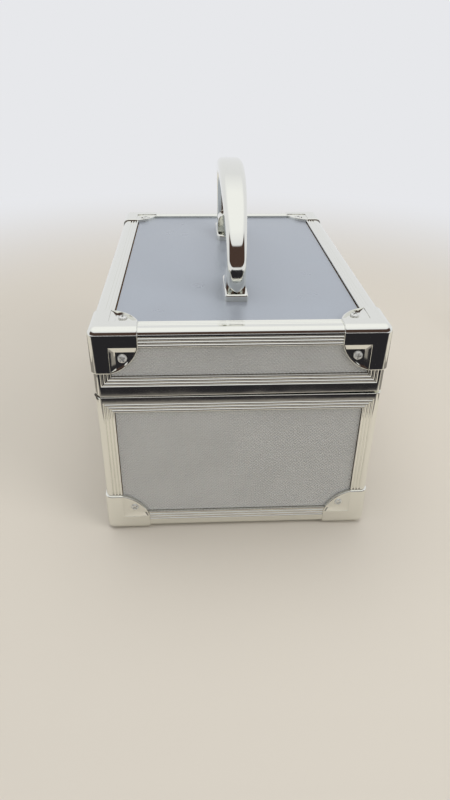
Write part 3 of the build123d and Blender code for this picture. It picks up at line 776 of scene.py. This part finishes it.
@dataclass
class PlainSheet:
    """A smooth sheet in a window above or below, with a narrow gap round it."""

    node: str
    body: str
    slot: str
    film: Material
    gap: float = 0.4 * MM
    edge: float = 0.25 * MM

    def build(self) -> Object:
        """Model the sheet and dress it."""
        low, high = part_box(self.node)
        inset = Vector((self.gap, self.gap, 0))
        sheet = block(low + inset, high - inset)
        with editing(sheet):
            pick(Part.EDGES, lambda e: e.verts[0].co.z == e.verts[1].co.z)
            round_edges(self.edge, 3)
        return finish_piece(sheet, f"{self.node}_smooth", self.body, self.film,
                            (self.node,))


# Corner caps and their screws


@dataclass
class CornerCaps:
    """Four moulded corner caps of one half, each with a pan sunk behind an arc on three faces."""

    half: Half
    chrome: Material
    proud: float = 1.0 * MM
    band: float = 10.5 * MM
    edge_radius: float = 4.5 * MM
    bead: float = 0.8 * MM
    arc_shift: float = 5.2 * MM
    rim: float = 0.8 * MM
    rim_depth: float = 0.4 * MM
    rim_round: float = 0.5 * MM
    ledge: float = 3.0 * MM
    ledge_depth: float = 0.5 * MM
    floor_depth: float = 1.6 * MM
    slope_steps: int = 12
    skirt: float = 2.0 * MM
    lap: float = 0.15 * MM
    end_depth: float = 1.0 * MM
    shell: float = 1.1 * MM
    pan_shell: float = 0.6 * MM
    crisp: float = 0.16 * MM
    merge: float = 0.005 * MM

    def model_bands(self, reach: float) -> Object:
        """Model the three bands round the corner, each with a beaded end and a wall by its pan.

        Args:
            reach: How far the cap goes along the frame from its corner.

        Returns:
            A closed shell whose frame faces lie at zero, with its outer corner towards +X, +Y, +Z.
        """
        inner = self.band - self.proud
        diagonal = Vector((1, 1, 1))
        bands = block(diagonal * -reach, diagonal * self.proud)
        ends = [flat_at(axis, -reach) for axis in range(3)]
        with editing(bands):
            pick(Part.EDGES, lambda e: sum(c > self.proud - NEAR for c in middle(e)) == 2)
            round_edges(self.edge_radius, 8)
            pick(Part.FACES, lambda f: any(at_end(f) for at_end in ends))
            bpy.ops.mesh.region_to_loop()
            round_edges(self.bead, 4)
            for axis in range(3):
                pick_all()
                slice_mesh(unit(axis) * -inner, unit(axis))
            for axis, at_end in enumerate(ends):
                one, two = (other for other in range(3) if other != axis)
                for way in (one, two):
                    pick(Part.FACES, at_end)
                    slice_mesh(unit(way) * -self.end_depth, unit(way))
                pick(Part.FACES, lambda f: at_end(f)
                     and (min(middle(f)[one], middle(f)[two]) < -inner
                          or max(middle(f)[one], middle(f)[two]) < -self.end_depth))
                bpy.ops.mesh.delete(type="FACE")
                pick(Part.FACES, lambda f: middle(f)[axis] > -self.end_depth
                     and middle(f)[one] < -inner and middle(f)[two] < -inner)
                bpy.ops.mesh.delete(type="FACE")
            for axis in range(3):
                for way in (other for other in range(3) if other != axis):
                    pick(Part.EDGES, lambda e: e.is_boundary and middle(e)[axis] > 0
                         and flat_at(way, -inner)(e))
                    extrude(unit(axis) * -self.skirt)
            pick_all()
            bpy.ops.mesh.remove_doubles(threshold=self.merge)
        thicken(bands, self.shell)
        apply_modifier(bands, "BEVEL", width=self.crisp, segments=2, limit_method="ANGLE",
                       angle_limit=CREASE, use_clamp_overlap=False)
        return bands

    def model_pan(self, reach: float) -> Object:
        """Model the sunk pan of the +Z face: floor, slopes beside the bands, rim round the arc.

        Args:
            reach: How far the cap goes along the frame from its corner.

        Returns:
            A closed shell that laps a little under the bands.
        """
        inner = self.band - self.proud
        arc = math.hypot(reach - inner + self.arc_shift, self.arc_shift)
        disc = arc - self.rim
        level = self.proud - self.ledge_depth
        top = self.proud - self.rim_depth
        centre = Vector((self.arc_shift - inner, self.arc_shift - inner, level))
        pan = start(bpy.ops.mesh.primitive_circle_add, vertices=128, radius=disc,
                    fill_type="NGON", location=centre)
        with editing(pan):
            pick(Part.EDGES, lambda e: True)
            extrude(Vector((0, 0, top - level)))
            extrude(Vector())
            bpy.ops.transform.resize(value=(arc / disc, arc / disc, 1), center_override=centre)
            extrude(Vector((0, 0, -self.skirt)))
            pick(Part.EDGES, lambda e: flat_at(2, top)(e) and all(
                abs((v.co - centre).xy.length - arc) < self.merge for v in e.verts))
            round_edges(self.rim_round, 6)
            for way in range(2):
                pick_all()
                slice_mesh(unit(way) * (self.lap - inner), unit(way), clear_outer=True)
            for way in range(2):
                pick(Part.FACES, flat_at(2, level))
                slice_mesh(unit(way) * -(inner + self.ledge), unit(way))
            drop = Vector((0, 0, (self.ledge_depth - self.floor_depth) / self.slope_steps))
            for number in range(self.slope_steps):
                line = inner + self.ledge * (number + 0.5) / self.slope_steps
                pick(Part.VERTS, lambda v: max(v.co.xy) < -line and v.co.z < level + NEAR
                     and (v.co - centre).xy.length < disc + NEAR)
                bpy.ops.transform.translate(value=drop)
            pick(Part.EDGES, lambda e: all(
                abs(max(v.co.xy) + inner + self.ledge) < NEAR and v.co.z < level for v in e.verts)
                or all(abs(v.co.x - v.co.y) < NEAR for v in e.verts))
            bpy.ops.mesh.mark_sharp()
            pick_all()
            bpy.ops.mesh.flip_normals()
        thicken(pan, self.pan_shell)
        return pan

    def model(self, leg: float) -> Object:
        """Model a whole cap.

        Args:
            leg: Length of the cap along each edge, from its own outer faces.

        Returns:
            The cap, with its outer corner towards +X, +Y and +Z.
        """
        reach = leg - self.proud
        bands, pan = self.model_bands(reach), self.model_pan(reach)
        turn = Matrix(((0, 0, 1), (1, 0, 0), (0, 1, 0))).to_4x4()
        return joined([bands, copied(pan, turn), copied(pan, turn.transposed()), pan])

    def build(self) -> None:
        """Model one cap and place a mirrored copy of it on each corner."""
        low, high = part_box(self.half.node("cap_right_back"))
        cap = self.model(high.x - low.x)
        up = self.half.up
        level = (high if up > 0 else low).z - up * self.proud
        for corner, (side_x, side_y) in CORNERS.items():
            place = Matrix.Translation((side_x * (high.x - self.proud),
                                        side_y * (high.y - self.proud), level))
            copy = copied(cap, place @ Matrix.Diagonal((side_x, side_y, up, 1)))
            name = self.half.node(f"cap_{corner}")
            finish_piece(copy, f"{name}_moulded", self.half.value, self.chrome,
                         (name,))
        bpy.data.objects.remove(cap)


@dataclass
class CapScrews:
    """The twelve cross head screws of one half's caps, all copies of one."""

    half: Half
    steel: Material
    inset: float = 17.0 * MM
    depth: float = 1.6 * MM
    head_radius: float = 2.4 * MM
    head_height: float = 1.3 * MM
    dome: float = 1.2 * MM
    cross: tuple[float, float, float] = (3.2 * MM, 0.85 * MM, 2.2 * MM)
    twists: tuple[int, int, int] = (17, 53, 29)

    def model(self) -> Object:
        """Model one screw head that stands on z 0 at the origin."""
        head = start(bpy.ops.mesh.primitive_cylinder_add, vertices=40, radius=self.head_radius,
                     depth=self.head_height, location=(0, 0, self.head_height / 2))
        with editing(head):
            pick(Part.EDGES, flat_at(2, self.head_height))
            round_edges(self.dome, 8)
        for quarter in (0.0, math.pi / 2):
            carve(head, start(bpy.ops.mesh.primitive_cube_add, size=1, scale=self.cross,
                              location=(0, 0, self.head_height), rotation=(0, 0, quarter)))
        return head

    def build(self) -> Object:
        """Place copies of the screw on every face of the half's four caps, each left as driven."""
        screw = self.model()
        low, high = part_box(self.half.node("cap_right_back"))
        up = self.half.up
        outer = Vector((high.x, high.y, high.z if up > 0 else -low.z))
        first_twist, corner_twist, face_twist = self.twists
        copies = []
        for number, (side_x, side_y) in enumerate(CORNERS.values()):
            signs = Vector((side_x, side_y, up))
            for axis in range(3):
                place = outer - Vector((1, 1, 1)) * self.inset
                place[axis] = outer[axis] - self.depth
                place = Vector([sign * value for sign, value in zip(signs, place)])
                turn = (unit(axis) * signs[axis]).to_track_quat("Z", "Y").to_matrix().to_4x4()
                degrees = first_twist + corner_twist * number + face_twist * axis
                twist = Matrix.Rotation(math.radians(degrees), 4, "Z")
                copies.append(copied(screw, Matrix.Translation(place) @ turn @ twist))
        bpy.data.objects.remove(screw)
        name = self.half.node("cap_screws")
        return finish_piece(joined(copies), f"{name}_domed", self.half.value, self.steel,
                            (name,), angle=30.0)


# Handle


@dataclass
class CarryHandle:
    """The arched carrying handle, hollow plated plastic, swept from leg to leg."""

    chrome: Material
    thickness: float = 9.0 * MM
    leg_width: float = 10.6 * MM
    grip_width: float = 15.6 * MM
    leg_rise: float = 4.0 * MM
    rounding: float = 3.4 * MM
    steps: int = 20
    lug_steps: int = 6
    lug_tip_share: float = 0.12

    def width_at(self, share: float) -> float:
        """Width of the handle at a share of its half span from the middle."""
        return self.leg_width + (self.grip_width - self.leg_width) * (1 - share ** 2)

    def widen(self, change: float) -> None:
        """Spread the selected section sideways, keeping its corners' shape."""
        if abs(change) < NEAR:
            return
        shape = bmesh.from_edit_mesh(bpy.context.edit_object.data)
        chosen = {corner.index for corner in shape.verts if corner.select}
        for sign in (-1, 1):
            pick(Part.VERTS, lambda v: v.index in chosen and v.co.y * sign > 0)
            bpy.ops.transform.translate(value=(0, sign * change / 2, 0))
        pick(Part.VERTS, lambda v: v.index in chosen)

    def build(self) -> Object:
        """Model the right half from its leg up, mirror it and dress it."""
        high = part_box("handle")[1]
        pin_low, pin_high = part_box("handle_pins")
        pivot = (pin_low.z + pin_high.z) / 2
        half_span = high.x - self.thickness / 2
        arch_start = pivot + self.leg_rise
        arch_height = high.z - self.thickness / 2 - arch_start
        handle = start(bpy.ops.mesh.primitive_plane_add, size=self.thickness,
                       location=(half_span, 0, pivot))
        with editing(handle):
            pick(Part.VERTS, lambda v: True)
            self.widen(self.leg_width - self.thickness)
            bpy.ops.mesh.bevel(offset=self.rounding, segments=6, profile=0.5, affect="VERTICES")
            pick(Part.FACES, lambda f: True)
            extrude(Vector((0, 0, self.leg_rise)))
            place, lean, width = Vector((half_span, 0, arch_start)), 0.0, self.leg_width
            for number in range(1, self.steps + 1):
                turn = math.pi / 2 * number / self.steps
                goal = Vector((half_span * math.cos(turn), 0,
                               arch_start + arch_height * math.sin(turn)))
                new_lean = math.atan2(half_span * math.sin(turn), arch_height * math.cos(turn))
                new_width = self.width_at(math.cos(turn))
                extrude(goal - place)
                bpy.ops.transform.rotate(value=new_lean - lean, orient_axis="Y",
                                         center_override=goal)
                self.widen(new_width - width)
                place, lean, width = goal, new_lean, new_width
            bpy.ops.mesh.delete(type="FACE")
            pick(Part.FACES, flat_at(2, pivot))
            for number in range(1, self.lug_steps + 1):
                turn, last = (math.pi / 2 * n / self.lug_steps for n in (number, number - 1))
                extrude(Vector((0, 0, self.leg_width / 2 * (math.sin(last) - math.sin(turn)))))
                share = max(math.cos(turn), self.lug_tip_share) / math.cos(last)
                bpy.ops.transform.resize(value=(1, share, 1),
                                         center_override=(half_span, 0, pivot))
        apply_modifier(handle, "MIRROR", use_axis=(True, False, False), use_clip=True)
        apply_modifier(handle, "SUBSURF", levels=1, render_levels=1)
        with editing(handle):
            pick_all()
            bpy.ops.mesh.normals_make_consistent(inside=False)
        return finish_piece(handle, "handle_arch", "handle_arch", self.chrome,
                            ("handle",), angle=60.0)


@dataclass
class HandleFoot:
    """A foot of the handle: a low block on the lid with a cheek that carries the leg's pin."""

    side: str
    chrome: Material
    block_height: float = 4.0 * MM
    end_radius: float = 5.4 * MM
    outer_radius: float = 1.8 * MM
    soft: float = 1.2 * MM
    leg_thickness: float = 9.0 * MM
    play: float = 0.4 * MM
    cheek_width: float = 10.6 * MM
    cheek_length: float = 11.0 * MM
    cheek_crown: float = 0.1 * MM
    root_share: float = 1.15
    root_length: float = 5.0 * MM
    crisp: float = 0.6 * MM

    def model_block(self, low: Vector, high: Vector, sign: int) -> Object:
        """Model the low block that stands on the lid.

        Args:
            low: Low corner of the block.
            high: High corner of the block.
            sign: Which end of the case the foot is nearer to.

        Returns:
            The block, rounder at its inner end.
        """
        foot = block(low, high)
        outer, inner = (high.x, low.x) if sign > 0 else (low.x, high.x)
        with editing(foot):
            pick(Part.EDGES, lambda e: climbs(e) and flat_at(0, inner)(e))
            round_edges(self.end_radius, 8)
            pick(Part.EDGES, lambda e: climbs(e) and flat_at(0, outer)(e))
            round_edges(self.outer_radius, 6)
            pick(Part.EDGES, flat_at(2, high.z))
            round_edges(self.soft, 4)
        return foot

    def model_cheek(self, bottom: float, top: float, sign: int) -> Object:
        """Model the cheek beside the leg, round over its pin and wider at its root.

        Args:
            bottom: Height of the block's top face.
            top: Height of the cheek's crown.
            sign: Which end of the case the foot is nearer to.

        Returns:
            The cheek, sunk a little into the block.
        """
        face = sign * (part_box("handle")[1].x - self.leg_thickness - self.play)
        centre = face - sign * self.cheek_length / 2
        half_size = Vector((self.cheek_length, self.cheek_width, top - bottom + self.soft)) / 2
        place = Vector((centre, 0, (bottom - self.soft + top) / 2))
        cheek = block(place - half_size, place + half_size)
        with editing(cheek):
            pick(Part.EDGES, lambda e: flat_at(2, top)(e)
                 and abs(e.verts[0].co.x - e.verts[1].co.x) > MM)
            round_edges((self.cheek_width - self.cheek_crown) / 2, 10)
            pick(Part.FACES, lambda f: f.normal.z < -FACING)
            bpy.ops.transform.resize(value=(1, self.root_share, 1),
                                     center_override=(centre, 0, bottom))
            pick(Part.VERTS, lambda v: v.co.z < bottom
                 and abs(v.co.x - centre + sign * self.cheek_length / 2) < NEAR)
            bpy.ops.transform.translate(value=(-sign * self.root_length, 0, 0))
        apply_modifier(cheek, "BEVEL", width=self.crisp, segments=3, limit_method="ANGLE",
                       angle_limit=CREASE)
        return cheek

    def build(self) -> Object:
        """Model the foot and dress it."""
        node = f"handle_foot_{self.side}"
        sign = 1 if self.side == "right" else -1
        low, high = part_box(node)
        top = low.z + self.block_height
        foot = self.model_block(low, Vector((high.x, high.y, top)), sign)
        cheek = self.model_cheek(top, high.z, sign)
        return finish_piece(joined([foot, cheek]), f"{node}_moulded", "lid",
                            self.chrome, (node,), angle=40.0)


# Studio


@dataclass(frozen=True)
class Lamp:
    """A soft square lamp that hangs over the table and looks at the case."""

    name: str
    place: tuple[float, float, float]
    size: float
    watts: float


@dataclass
class Studio:
    """Camera, floor, cards, room and lamps. None of it is part of the case."""

    focal: float = 606.65
    frame_long: float = 800.0
    sensor: float = 36.0
    near_clip: float = 0.01
    far_clip: float = 50.0
    eye: tuple[float, float, float] = (-388.4 * MM, 23.61 * MM, 257.85 * MM)
    pitch: float = 31.36
    yaw: float = 3.233
    roll: float = 0.679
    floor_size: float = 12.0
    floor_level: float = -0.05 * MM
    floor_colour: str = "#D3CABC"
    floor_roughness: float = 0.7
    floor_specular: float = 0.2
    fade: tuple[float, float] = (0.3, 0.8)
    wall_colour: str = "#E7E8EB"
    ceiling_colour: str = "#FCFDFD"
    ceiling_start: float = 0.9
    light_colour: str = "#DDE1E6"
    light_level: float = 0.85
    # Cards that glow and that only mirrors see: painted reflections, pale by the table's edge and
    # dark beyond.
    table_edge: float = -235.0 * MM
    edge_width: float = 28.0 * MM
    edge_blur: float = 2.0 * MM
    edge_colour: str = "#8C8781"
    card_size: float = 1.2
    card_level: float = 0.1 * MM
    reflected_card_colour: str = "#29282B"
    side_card: float = 0.26
    side_size: tuple[float, float] = (0.42, 0.07)
    # A dark band low in the room that only mirrors see: a painted reflection.
    reflected_band_colour: str = "#4A3A34"
    band_top: float = 0.62
    band_blur: float = 0.02
    band_fade: tuple[float, float] = (-0.1, -0.3)
    aim: tuple[float, float, float] = (0.0, 0.0, 60.0 * MM)
    lamps: tuple[Lamp, ...] = (Lamp("overhead", (0.15, 0.1, 1.3), 1.1, 7.0),
                               Lamp("front_right", (-0.7, -0.9, 0.8), 0.7, 5.0))

    def set_camera(self) -> None:
        """Add the camera at the photograph's place, turn and angle of view."""
        bpy.ops.object.camera_add(location=self.eye)
        camera = bpy.context.active_object
        pitch, yaw, roll = (math.radians(a) for a in (self.pitch, self.yaw, self.roll))
        forward = Vector((math.cos(yaw) * math.cos(pitch), -math.sin(yaw) * math.cos(pitch),
                          -math.sin(pitch)))
        right = Vector((-math.sin(yaw), -math.cos(yaw), 0))
        up = right.cross(forward)
        across = math.cos(roll) * right + math.sin(roll) * up
        upward = math.cos(roll) * up - math.sin(roll) * right
        turn = Matrix((across, upward, -forward)).transposed().to_4x4()
        camera.matrix_world = Matrix.Translation(self.eye) @ turn
        camera.data.lens = self.focal * self.sensor / self.frame_long
        camera.data.sensor_width = self.sensor
        camera.data.clip_start = self.near_clip
        camera.data.clip_end = self.far_clip
        bpy.context.scene.camera = camera

    def shown(self, tree: Tree) -> Node:
        """One for the rays that show the background: seen, mirrored or through glass."""
        path = add_node(tree, "LightPath")
        both = add_node(tree, "Math", {"operation": "ADD"},
                        {0: (path, "Is Camera Ray"), 1: (path, "Is Glossy Ray")})
        return add_node(tree, "Math", {"operation": "ADD", "use_clamp": True},
                        {0: (both, 0), 1: (path, "Is Transmission Ray")})

    def lay_floor(self) -> None:
        """Lay a plain pale floor that fades into the wall's colour far from the case."""
        floor = start(bpy.ops.mesh.primitive_plane_add, size=self.floor_size,
                      location=(0, 0, self.floor_level))
        floor.name = "studio_floor"
        paint = Finish("floor_paint", self.floor_colour, self.floor_roughness)
        material, tree, shader, on_object = paint.begin()
        shader.inputs["Specular IOR Level"].default_value = self.floor_specular
        output = next(node for node in tree.nodes if node.type == "OUTPUT_MATERIAL")
        away = add_node(tree, "VectorMath", {"operation": "LENGTH"}, on_object)
        faded = add_node(tree, "MapRange",
                         {"interpolation_type": "SMOOTHSTEP", "From Min": self.fade[0],
                          "From Max": self.fade[1]}, {"Value": (away, "Value")})
        share = add_node(tree, "Math", {"operation": "MULTIPLY"},
                         {0: (faded, 0), 1: (self.shown(tree), 0)})
        wall = add_node(tree, "Emission", {"Color": linear(self.wall_colour)})
        add_node(tree, "MixShader", {}, {0: (share, 0), 1: (shader, 0), 2: (wall, 0)},
                 {0: (output, "Surface")})
        floor.data.materials.append(material)

    def lay_cards(self) -> None:
        """Lay glowing cards that only mirrors see: painted reflections of the room in front of the
        table and its sides.
        """
        material = bpy.data.materials.new("painted_reflection_card")
        material.use_nodes = True
        tree = material.node_tree
        tree.nodes.clear()
        places = add_node(tree, "TexCoord")
        axes = add_node(tree, "SeparateXYZ", {}, {0: (places, "Object")})
        # Painted reflection: a pale glowing strip at the table's edge, then dark glowing card.
        far = self.table_edge - self.edge_width
        share = add_node(tree, "MapRange",
                         {"From Min": far + self.edge_blur, "From Max": far - self.edge_blur},
                         {"Value": (axes, 0)})
        colour = add_node(tree, "Mix",
                          {"data_type": "RGBA", 6: linear(self.edge_colour),
                           7: linear(self.reflected_card_colour)}, {0: (share, 0)})
        glow = add_node(tree, "Emission", {}, {0: (colour, 2)})
        add_node(tree, "OutputMaterial", {}, {0: (glow, 0)})
        front = self.table_edge - self.card_size / 2
        for name, place, size in (("front", (front, 0), (self.card_size, self.card_size)),
                                  ("left", (0, self.side_card), self.side_size),
                                  ("right", (0, -self.side_card), self.side_size)):
            card = start(bpy.ops.mesh.primitive_cube_add, size=1,
                         scale=(*size, self.card_level), location=(*place, self.card_level))
            card.name = f"studio_card_{name}"
            card.visible_camera = card.visible_diffuse = card.visible_shadow = False
            card.data.materials.append(material)

    def make_room(self) -> None:
        """Make the room: a pale wall all round, and low in front a dark band that only mirrors show,
        a painted reflection.
        """
        world = bpy.data.worlds.new("room")
        bpy.context.scene.world = world
        world.use_nodes = True
        tree = world.node_tree
        tree.nodes.clear()
        places = add_node(tree, "TexCoord")
        axes = add_node(tree, "SeparateXYZ", {}, {0: (places, "Generated")})
        path = add_node(tree, "LightPath")
        low = add_node(tree, "MapRange",
                       {"From Min": self.band_top + self.band_blur,
                        "From Max": self.band_top - self.band_blur}, {"Value": (axes, 2)})
        ahead = add_node(tree, "MapRange",
                         {"interpolation_type": "SMOOTHSTEP", "From Min": self.band_fade[0],
                          "From Max": self.band_fade[1]}, {"Value": (axes, 0)})
        band = add_node(tree, "Math", {"operation": "MULTIPLY"}, {0: (low, 0), 1: (ahead, 0)})
        # The dark band goes to glossy rays only: a painted reflection in the chrome.
        mirrored = add_node(tree, "Math", {"operation": "MULTIPLY"},
                            {0: (band, 0), 1: (path, "Is Glossy Ray")})
        above = add_node(tree, "MapRange",
                         {"From Min": self.band_top, "From Max": self.ceiling_start},
                         {"Value": (axes, 2)})
        ceiling = add_node(tree, "Mix",
                           {"data_type": "RGBA", 6: linear(self.wall_colour),
                            7: linear(self.ceiling_colour)}, {0: (above, 0)})
        seen = add_node(tree, "Mix", {"data_type": "RGBA", 7: linear(self.reflected_band_colour)},
                        {0: (mirrored, 0), 6: (ceiling, 2)})
        shown = self.shown(tree)
        colour = add_node(tree, "Mix", {"data_type": "RGBA", 6: linear(self.light_colour)},
                          {0: (shown, 0), 7: (seen, 2)})
        strength = add_node(tree, "MapRange", {"To Min": self.light_level, "To Max": 1.0},
                            {"Value": (shown, 0)})
        background = add_node(tree, "Background", {}, {0: (colour, 2), "Strength": (strength, 0)})
        add_node(tree, "OutputWorld", {}, {0: (background, 0)})

    def hang_lamps(self) -> None:
        """Hang the soft lamps, which mirrors don't show."""
        for lamp in self.lamps:
            bpy.ops.object.light_add(type="AREA", location=lamp.place)
            light = bpy.context.active_object
            light.name = f"studio_{lamp.name}"
            light.data.size = lamp.size
            light.data.energy = lamp.watts
            light.visible_glossy = False
            look = Vector(self.aim) - Vector(lamp.place)
            light.rotation_euler = look.to_track_quat("-Z", "Y").to_euler()

    def build(self) -> None:
        """Set up the whole studio."""
        self.set_camera()
        self.lay_floor()
        self.lay_cards()
        self.make_room()
        self.hang_lamps()
        bpy.context.scene.view_settings.view_transform = "Standard"


CHROME = ChromePlate("chrome_plated_abs", "#EFEFE8", 0.05, 1.0)
HARDWARE = PlatedSteel("nickel_plated_steel", "#B9B7B0", 0.16, 1.0)
SCREW_STEEL = PlatedSteel("zinc_plated_screw_steel", "#E8E8E4", 0.34, 0.55)
PANEL_FILM = SilverFilm("embossed_silver_film", "#CBCAC6", 0.36, 0.3)
TOP_FILM = SilverFilm("satin_silver_film", "#A3A8AF", 0.32, 0.3)
BOTTOM_FILM = SilverFilm("bottom_grey_film", "#7E8287", 0.45, 0.1)
BOARD = Fibreboard("fibreboard", "#A98259", 0.85)
LINING = FlockLining("black_flock", "#16161A", 0.95)

# The base's caps are moulded shallower than the lid's.
CAP_SIZES = {Half.BASE: {"ledge": 2.3 * MM, "ledge_depth": 0.1 * MM, "floor_depth": 0.95 * MM,
                         "rim_depth": 0.05 * MM},
             Half.LID: {}}


def dress(nodes: tuple[str, ...], material: Material) -> None:
    """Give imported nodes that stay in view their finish."""
    for node in nodes:
        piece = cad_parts[node]
        piece.data.materials.clear()
        piece.data.materials.append(material)
        log.info("%s: dressed", node)


def main() -> None:
    """Build every piece in turn, then the studio."""
    logging.basicConfig(level=logging.INFO, format="%(message)s")
    chrome, hardware, screw_steel = CHROME.build(), HARDWARE.build(), SCREW_STEEL.build()
    panel_film, top_film, bottom_film = PANEL_FILM.build(), TOP_FILM.build(), BOTTOM_FILM.build()
    for half in Half:
        FrameCage(half, chrome).build()
        for side in SIDES:
            EmbossedPanel(half, side, panel_film).build()
        CornerCaps(half, chrome, **CAP_SIZES[half]).build()
        CapScrews(half, screw_steel).build()
    PlainSheet("lid_top_sheet", "lid", "top_sheet", top_film).build()
    PlainSheet("base_bottom_sheet", "base", "bottom_sheet", bottom_film).build()
    CarryHandle(chrome).build()
    for side in ("left", "right"):
        HandleFoot(side, chrome).build()
    dress(("base_carcass", "lid_carcass"), BOARD.build())
    dress(("base_lining", "lid_lining"), LINING.build())
    dress(("hinge_base_leaf", "hinge_lid_leaf", "hinge_pin", "hinge_base_rivets",
           "hinge_lid_rivets", "latch_base_plate", "latch_flap", "latch_pin", "latch_keeper",
           "handle_pins"), hardware)
    dress(("latch_base_screws", "latch_keeper_screws", "handle_foot_screws"), screw_steel)
    Studio().build()


if __name__ == "__main__":
    main()
